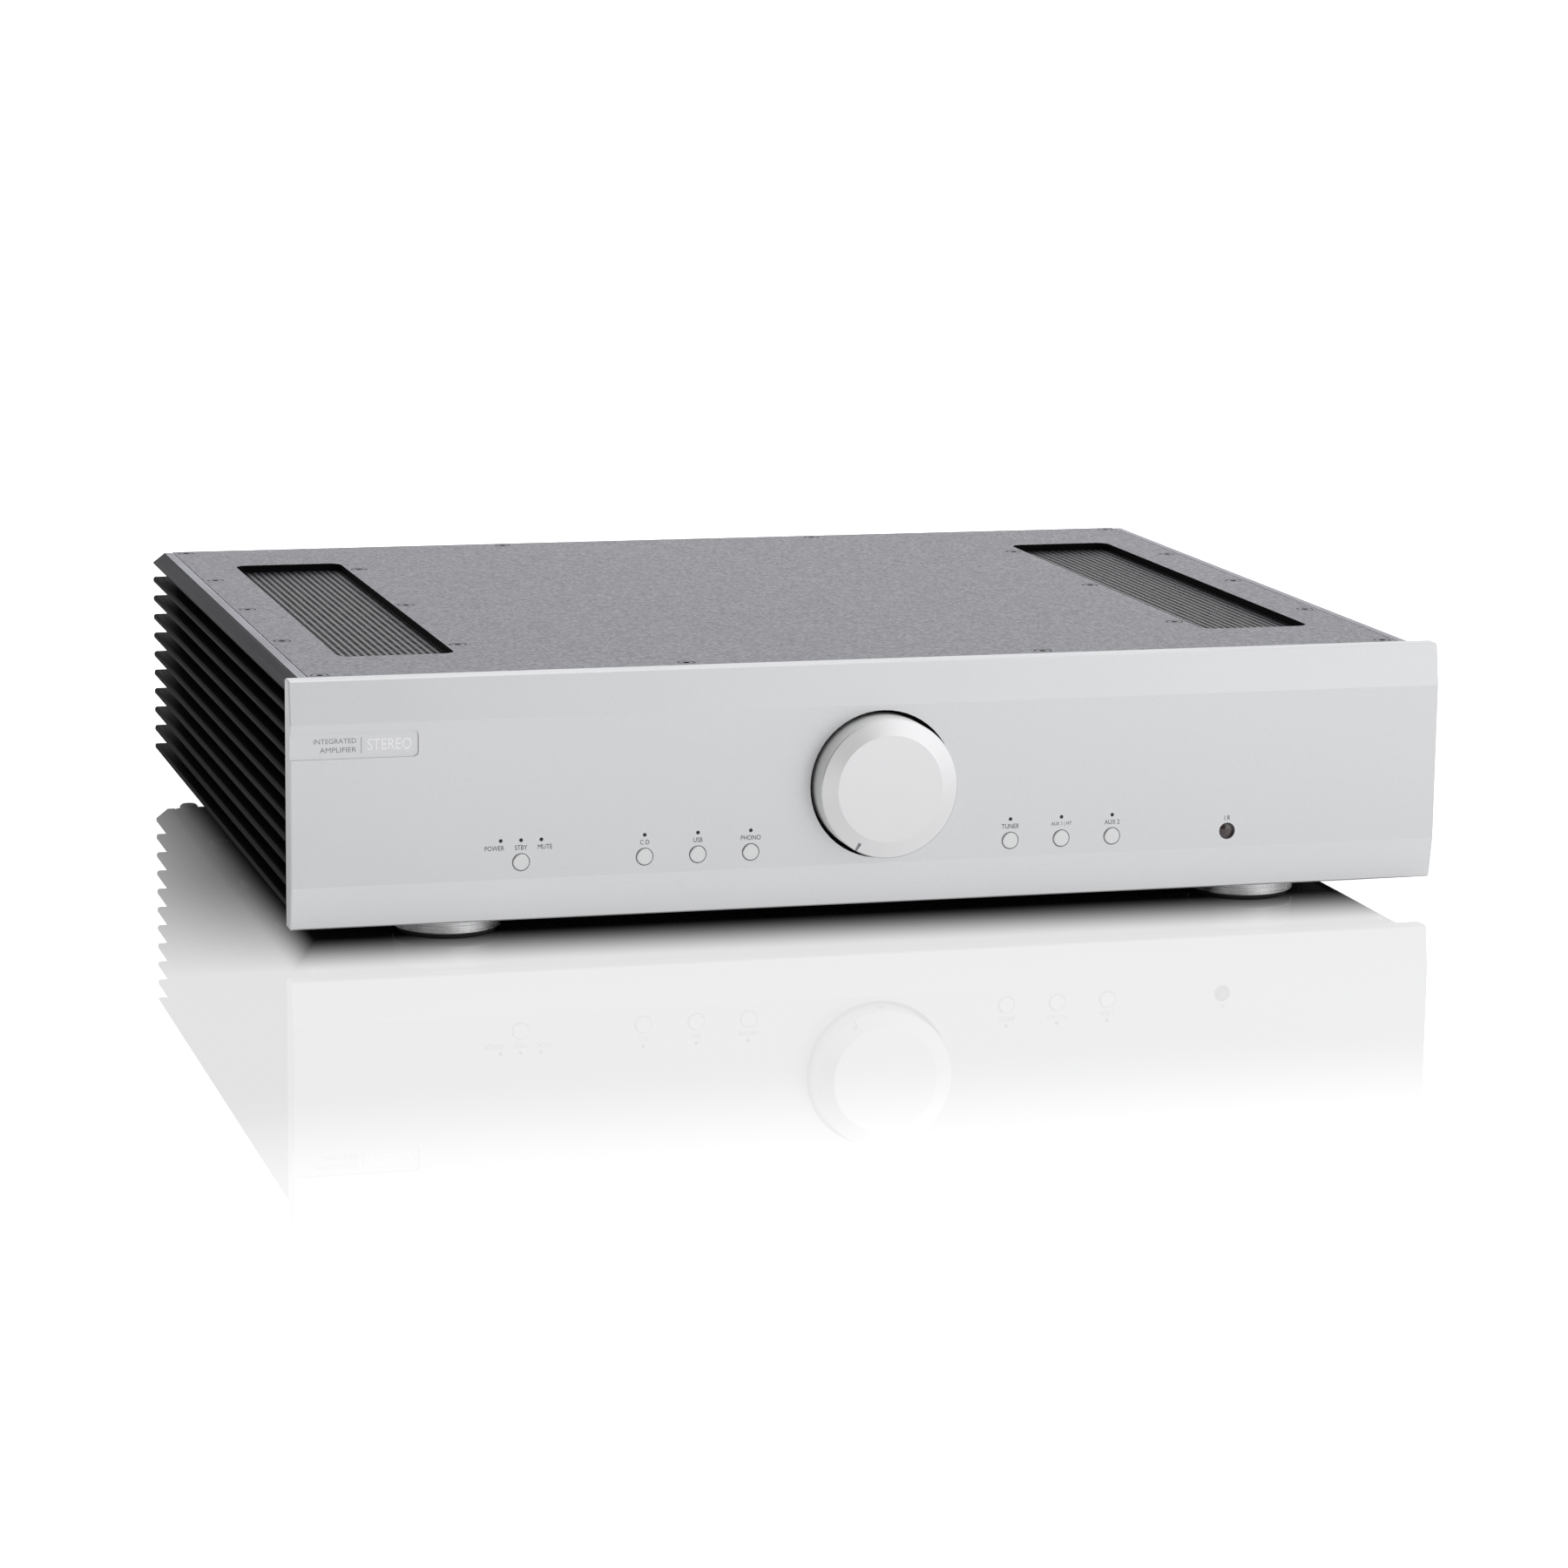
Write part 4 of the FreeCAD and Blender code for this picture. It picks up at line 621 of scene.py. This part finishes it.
def perforated(mesh, middle_x, middle_y, z):
    """Hexagonal cells, each with a round hole; only the outermost get a wall outside."""
    corner = COLUMN_PITCH * 2 / 3
    flat = corner * math.sqrt(3) / 2
    squash = HOLE_PITCH / 2 / flat
    for column in range(VENT_COLUMNS):
        x = middle_x + (column - (VENT_COLUMNS - 1) / 2) * COLUMN_PITCH
        for row in range(VENT_ROWS):
            y = middle_y + (row - (VENT_ROWS - 1) / 2 + 0.5 * (column % 2) - 0.25) * HOLE_PITCH
            hexagon = [(px, y + (py - y) * squash) for px, py in ring_points(x, y, (corner, flat))]
            hole = ring_points(x, y, (HOLE_RADIUS,))
            hexagon_low, hole_low, hexagon_high, hole_high = outline_rings(mesh, (hexagon, hole), z)
            wall(mesh, hexagon_high, hole_high)
            wall(mesh, hole_low, hexagon_low)
            wall(mesh, hole_high, hole_low)
    bmesh.ops.remove_doubles(mesh, verts=mesh.verts, dist=WELD)
    halfway = (z[0] + z[1]) / 2
    rim = [edge for edge in mesh.edges if edge.is_boundary and edge.verts[0].co.z > halfway]
    below = {place_of(vertex): vertex for vertex in mesh.verts if vertex.co.z < halfway}
    for a, b in [edge.verts for edge in rim]:
        pair = [below.get(place_of(vertex)) for vertex in (a, b)]
        if None not in pair:
            mesh.faces.new((a, b, pair[1], pair[0]))


def vent(name):
    """One vent sheet with its holes, plain border and tapped bosses, in place of the plain node."""
    low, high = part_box(name)
    z = (high.z - SHEET, high.z)
    centre = (low.x + high.x) / 2
    middle_y = (low.y + high.y) / 2
    mesh = bmesh.new()
    outward = 1 if centre > 0 else -1
    holes_x = centre + FIELD_SHIFT * outward
    perforated(mesh, holes_x, middle_y, z)
    half_x = (VENT_COLUMNS - 1) / 2 * COLUMN_PITCH
    half_y = (VENT_ROWS - 1) / 2 * HOLE_PITCH
    outer = [(low.x, low.y), (high.x, low.y), (high.x, high.y), (low.x, high.y)]
    signs = ((-1, -1), (1, -1), (1, 1), (-1, 1))
    inner = [(holes_x + sx * half_x, middle_y + sy * half_y) for sx, sy in signs]
    plate_ring(mesh, outer, inner, (z[0] + 0.05 * MM, z[1] - 0.05 * MM))
    boss_x = centre - outward * (abs(centre) - BOSS_OUT)
    for boss_y in (middle_y - BOSS_APART, middle_y, middle_y + BOSS_APART):
        outline = ring_points(boss_x, boss_y, (BOSS_RADIUS,))
        bore = ring_points(boss_x, boss_y, (BORE_RADIUS,))
        plate_ring(mesh, outline, bore, (low.z, z[0] + 0.2 * MM))
    bmesh.ops.recalc_face_normals(mesh, faces=mesh.faces)
    data = bpy.data.meshes.new(name + "_perforated")
    mesh.to_mesh(data)
    mesh.free()
    data.materials.append(looks["mesh"].material)
    data.materials.append(painted_shade_black.material)
    for polygon in data.polygons:
        # Side walls of the holes, border and bosses take the near-black painted shade.
        polygon.material_index = int(abs(polygon.normal.z) < 0.5)
    piece = bpy.data.objects.new(name + "_perforated", data)
    bpy.context.scene.collection.objects.link(piece)
    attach(piece, "case")
    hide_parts(name)


vent("vent_mesh_left")
vent("vent_mesh_right")


# ---- Lettering --------------------------------------------------------------------------------
INK_THICKNESS = 0.02 * MM
FACING = {
    "front": Matrix(((1, 0, 0), (0, 0, -1), (0, 1, 0))),
    "back": Matrix(((-1, 0, 0), (0, 0, 1), (0, 1, 0))),
}


def typeset(word):
    """A word as a mesh lying in XY, made with Blender's built-in typeface."""
    curve = bpy.data.curves.new("word", "FONT")
    curve.body = word
    curve.resolution_u = 4
    holder = bpy.data.objects.new("word", curve)
    bpy.context.scene.collection.objects.link(holder)
    bpy.context.view_layer.update()
    evaluated = holder.evaluated_get(bpy.context.evaluated_depsgraph_get())
    mesh = bpy.data.meshes.new_from_object(evaluated)
    bpy.data.objects.remove(holder)
    bpy.data.curves.remove(curve)
    return mesh


def legend(name, words, surface_y, facing, look, condense=1.0):
    """Printed words as one thin solid. Each word: text, centre x, centre z, height, width or None."""
    printed = bmesh.new()
    for word, x, z, height, width in words:
        flat = typeset(word)
        corners = [v.co.copy() for v in flat.vertices]
        low = Vector((min(c.x for c in corners), min(c.y for c in corners), 0))
        high = Vector((max(c.x for c in corners), max(c.y for c in corners), 0))
        tall = height / (high.y - low.y)
        wide = width / (high.x - low.x) if width else tall * condense
        size = Matrix.Diagonal((wide, tall, 1, 1)) @ Matrix.Translation(-(low + high) / 2)
        place = Matrix.Translation((x, surface_y, z)) @ FACING[facing].to_4x4() @ size
        flat.transform(place)
        printed.from_mesh(flat)
        bpy.data.meshes.remove(flat)
    bmesh.ops.remove_doubles(printed, verts=printed.verts, dist=0.000001)
    out = Vector((0, -INK_THICKNESS if facing == "front" else INK_THICKNESS, 0))
    raised = bmesh.ops.extrude_face_region(printed, geom=printed.faces[:])["geom"]
    for vertex in (g for g in raised if isinstance(g, bmesh.types.BMVert)):
        vertex.co += out
    bmesh.ops.recalc_face_normals(printed, faces=printed.faces)
    data = bpy.data.meshes.new(name)
    printed.to_mesh(data)
    printed.free()
    data.materials.append(look.material)
    piece = bpy.data.objects.new(name, data)
    bpy.context.scene.collection.objects.link(piece)
    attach(piece, "case")


LABEL_HEIGHT = 1.75 * MM
LABEL_Z = 36.8 * MM
NARROWED = 0.84
standby_x = middle("standby_button").x
front_words = [
    ("POWER", standby_x - 9.8 * MM, LABEL_Z, LABEL_HEIGHT, None),
    ("STBY", standby_x, LABEL_Z, LABEL_HEIGHT, None),
    ("MUTE", standby_x + 8.9 * MM, LABEL_Z, LABEL_HEIGHT, None),
]
for button, word in (("cd", "C D"), ("usb", "USB"), ("phono", "PHONO"), ("tuner", "TUNER"),
                     ("aux1", "AUX 1 | HT"), ("aux2", "AUX 2")):
    front_words.append((word, middle(button + "_button").x, LABEL_Z, LABEL_HEIGHT, None))
front_words.append(("I R", middle("ir_window").x, 36.4 * MM, LABEL_HEIGHT, None))

dark_ink = ink("dark_ink", 0.02)
badge_ink = ink("badge_ink", 0.22)
badge_light = ink("badge_light_ink", 0.95)
white_ink = ink("white_ink", 0.75)

legend("front_legend", front_words, FACE_Y, "front", dark_ink, NARROWED)

BADGE_FLOOR = FACE_Y + 0.5 * MM
legend("badge_legend", [
    ("INTEGRATED", -203.7 * MM, 78.2 * MM, 1.8 * MM, 15.4 * MM),
    ("AMPLIFIER", -202.6 * MM, 75.0 * MM, 1.8 * MM, 13.2 * MM),
    ("I", -194.2 * MM, 76.5 * MM, 5.8 * MM, 0.22 * MM),
], BADGE_FLOOR, "front", badge_ink)
legend("badge_word", [("STEREO", -184.0 * MM, 76.6 * MM, 4.2 * MM, 16.0 * MM)], BADGE_FLOOR, "front",
       badge_light)

# ---- Rear lettering ---------------------------------------------------------------------------
rear_words = []
rca_low, rca_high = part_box("rca_insulators")
RCA_NAMES = ("CD", "TUNER", "AUX 1", "AUX 2", "TAPE", "PRE OUT", "PHONO")
RCA_EDGE = 7.2 * MM
RCA_PITCH = (rca_high.x - rca_low.x - 2 * RCA_EDGE) / (len(RCA_NAMES) - 1)
for number, word in enumerate(RCA_NAMES):
    column_x = rca_low.x + RCA_EDGE + number * RCA_PITCH
    rear_words.append((word, column_x, rca_high.z + 4.5 * MM, 2.0 * MM, None))
for row_z, word in ((rca_high.z - RCA_EDGE, "L"), (rca_low.z + RCA_EDGE, "R")):
    rear_words.append((word, rca_low.x - 5.0 * MM, row_z, 2.4 * MM, None))
for number, sign in ((1, "+"), (2, "-"), (3, "+"), (4, "-")):
    post = middle("speaker_cap_" + str(number))
    tall = 2.0 * MM if sign == "+" else 0.45 * MM
    rear_words.append((sign, post.x, post.z + 12.5 * MM, tall, None))
caps_z = middle("speaker_cap_1").z
for pair, word in (((1, 2), "RIGHT"), ((3, 4), "LEFT")):
    between = sum(middle("speaker_cap_" + str(n)).x for n in pair) / 2
    rear_words.append((word, between, caps_z - 14.0 * MM, 2.2 * MM, None))
usb = middle("usb_socket")
ground = middle("ground_thumbscrew")
inlet_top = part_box("mains_inlet")[1].z
rear_words += [
    ("SPEAKERS", middle("speaker_insulators").x, caps_z + 20.0 * MM, 2.4 * MM, None),
    ("USB", usb.x, usb.z + 9.0 * MM, 2.0 * MM, None),
    ("GND", ground.x - 12.0 * MM, ground.z, 2.0 * MM, None),
    ("MAINS", middle("mains_inlet").x, inlet_top + 5.0 * MM, 2.4 * MM, None),
]
legend("rear_legend", rear_words, REAR_Y, "back", white_ink)


# ---- Floor, light and camera ------------------------------------------------------------------
FOOTPRINT = (cad_box[1] - cad_box[0]) / 2
FLOOR_HALF = 30.0
FLOOR_SHEEN = 0.13
FIRST_BOUNCE = 2.5
SIDE_FADE = (-0.014, 0.004)
FRONT_FADE = (-0.040, 0.014)
NEAR_BAND = (0.0, 0.045)
NEAR_GLOW = (0.17, 0.55)
OUTER_BAND = (0.08, 0.34)
OUTER_GLOW = (0.0, 0.5)
FAR_BAND = (0.17, 0.31)
FAR_GLOW = (0.86, 1.06)
FRONTAL_BAND = (-0.17, 0.01)


def floor():
    """A glossy sheet whose own glow is painted by position: painted shadow, black under the case, and white
    further off.
    """
    mesh = bpy.data.meshes.new("floor")
    signs = ((-1, -1), (1, -1), (1, 1), (-1, 1))
    corners = [(x * FLOOR_HALF, y * FLOOR_HALF, 0) for x, y in signs]
    mesh.from_pydata(corners, [], [(0, 1, 2, 3)])
    look = Look("floor_acrylic", Specular_IOR_Level=0.0, Emission_Color=rgba(1.0))
    look.colour(look.between(look.noise(0.6, 2.0), 0.0, 1.0), 0.02, 0.03)
    look.rough(look.between(look.noise(0.4, 2.0), 0.5, 0.6))
    look.link(floor_glow(look), look.shader.inputs["Emission Strength"])
    mirror = look.add("BsdfGlossy", {"Color": rgba(1.0), "Roughness": 0.0})
    layers = {0: FLOOR_SHEEN, 1: look.shader.outputs["BSDF"], 2: mirror.outputs["BSDF"]}
    blend = look.add("MixShader", layers)
    surface = next(node for node in look.tree.nodes if node.bl_idname == "ShaderNodeOutputMaterial")
    look.link(blend.outputs[0], surface.inputs["Surface"])
    mesh.materials.append(look.material)
    sheet = bpy.data.objects.new("floor", mesh)
    bpy.context.scene.collection.objects.link(sheet)


def floor_glow(look):
    """The floor's painted brightness and painted shadow, by distance from the case's sides, back and front.
    """
    split = look.add("SeparateXYZ", {0: look.coords})
    aside = look.math("SUBTRACT", look.math("ABSOLUTE", split.outputs["X"]), FOOTPRINT.x)
    behind = look.math("SUBTRACT", split.outputs["Y"], FOOTPRINT.y)
    ahead = look.math("SUBTRACT", look.math("MULTIPLY", split.outputs["Y"], -1.0), FOOTPRINT.y)
    sides = look.math("MAXIMUM", look.ramp(aside, *SIDE_FADE), look.ramp(behind, *SIDE_FADE))
    clear = look.math("MAXIMUM", sides, look.ramp(ahead, *FRONT_FADE))
    outside = look.math("MAXIMUM", look.math("MAXIMUM", aside, behind), ahead)
    near = look.between(outside, *NEAR_GLOW, *NEAR_BAND)
    near = look.math("ADD", near, look.ramp(outside, *OUTER_BAND, *OUTER_GLOW))
    far = look.ramp(look.math("MAXIMUM", ahead, aside), *FAR_BAND, *FAR_GLOW)
    frontal = look.between(ahead, 0.0, 1.0, *FRONTAL_BAND)
    share = look.math("MULTIPLY", frontal, frontal)
    level = look.add("Mix", {0: share, 2: near, 3: far}).outputs[0]
    return look.math("MULTIPLY", clear, level)


class Sky(Nodes):
    """The studio as the object sees it: a brightness for each direction."""

    def __init__(self):
        world = bpy.data.worlds.new("studio")
        world.use_nodes = True
        bpy.context.scene.world = world
        super().__init__(world.node_tree)
        split = self.add("SeparateXYZ", {0: self.add("TexCoord").outputs["Generated"]})
        self.x, self.y, self.z = split.outputs

    def patch(self, x, y, z, spread, strength, softness=0.04):
        """A soft panel of light in the direction (x, y, z), spread degrees from its middle to its edge."""
        aim = Vector((x, y, z)).normalized()
        parts = [self.math("MULTIPLY", c, a) for c, a in zip((self.x, self.y, self.z), aim)]
        toward = self.math("ADD", self.math("ADD", parts[0], parts[1]), parts[2])
        edge = math.cos(math.radians(spread))
        return self.ramp(toward, edge - softness, edge + softness, 0.0, strength)

    def finish(self, strength):
        """Camera rays, and the first bounce off the polished floor, see plain white instead."""
        background = self.tree.nodes["Background"]
        rays = self.add("LightPath").outputs
        first = self.math("LESS_THAN", rays["Ray Depth"], FIRST_BOUNCE)
        off_floor = self.math("MULTIPLY", rays["Is Singular Ray"], first)
        seen = self.math("MAXIMUM", strength, rays["Is Camera Ray"])
        mirrored = self.math("MULTIPLY", off_floor, 1 / FLOOR_SHEEN)
        self.link(self.math("MAXIMUM", seen, mirrored), background.inputs["Strength"])
        background.inputs["Color"].default_value = rgba(1.0)


def surroundings():
    """Dark on the left and bright on the right, with a dim gap in front and a panel front right."""
    sky = Sky()
    from_left = sky.ramp(sky.x, -0.75, 0.35, 0.30, 1.04)
    gap = sky.patch(-0.28, -0.94, 0.25, 28.0, -0.66, 0.015)
    base = sky.math("MULTIPLY", from_left, sky.math("ADD", gap, 0.95))
    panels = sky.patch(0.52, -0.84, 0.17, 19.0, 0.55)
    sky.finish(sky.math("ADD", base, panels))


def area_light(name, place, target, size, power):
    light = bpy.data.lights.new(name, "AREA")
    light.shape = "RECTANGLE"
    light.size, light.size_y = size
    light.energy = power
    lamp = bpy.data.objects.new(name, light)
    lamp.location = place
    lamp.rotation_euler = (Vector(target) - Vector(place)).to_track_quat("-Z", "Y").to_euler()
    bpy.context.scene.collection.objects.link(lamp)


CAMERA_TURNS = [math.radians(turn) for turn in (15.846, -10.827, 0.731)]
CAMERA_PLACE = (-0.5033, -1.8206, 0.3824)
CAMERA_LENS = 108.98


def camera():
    """The viewing point of the photograph: low, from the front left, with a long lens."""
    yaw, pitch, roll = CAMERA_TURNS
    forward = Vector((math.sin(yaw) * math.cos(pitch), math.cos(yaw) * math.cos(pitch), math.sin(pitch)))
    level = Vector((math.cos(yaw), -math.sin(yaw), 0))
    upright = level.cross(forward)
    right = math.cos(roll) * level + math.sin(roll) * upright
    up = math.cos(roll) * upright - math.sin(roll) * level
    data = bpy.data.cameras.new("camera")
    data.lens = CAMERA_LENS
    data.sensor_width = 36.0
    data.clip_end = 100.0
    eye = bpy.data.objects.new("camera", data)
    turn = Matrix((right, up, -forward)).transposed()
    eye.matrix_world = Matrix.Translation(CAMERA_PLACE) @ turn.to_4x4()
    bpy.context.scene.collection.objects.link(eye)
    bpy.context.scene.camera = eye


floor()
surroundings()
area_light("key", (1.6, -1.8, 2.2), (0, 0, 0.05), (1.6, 1.6), 7.0)
area_light("top", (-0.2, 0.9, 2.4), (0, 0, 0.05), (2.4, 1.4), 18.0)
camera()
bpy.context.scene.view_settings.view_transform = "Standard"
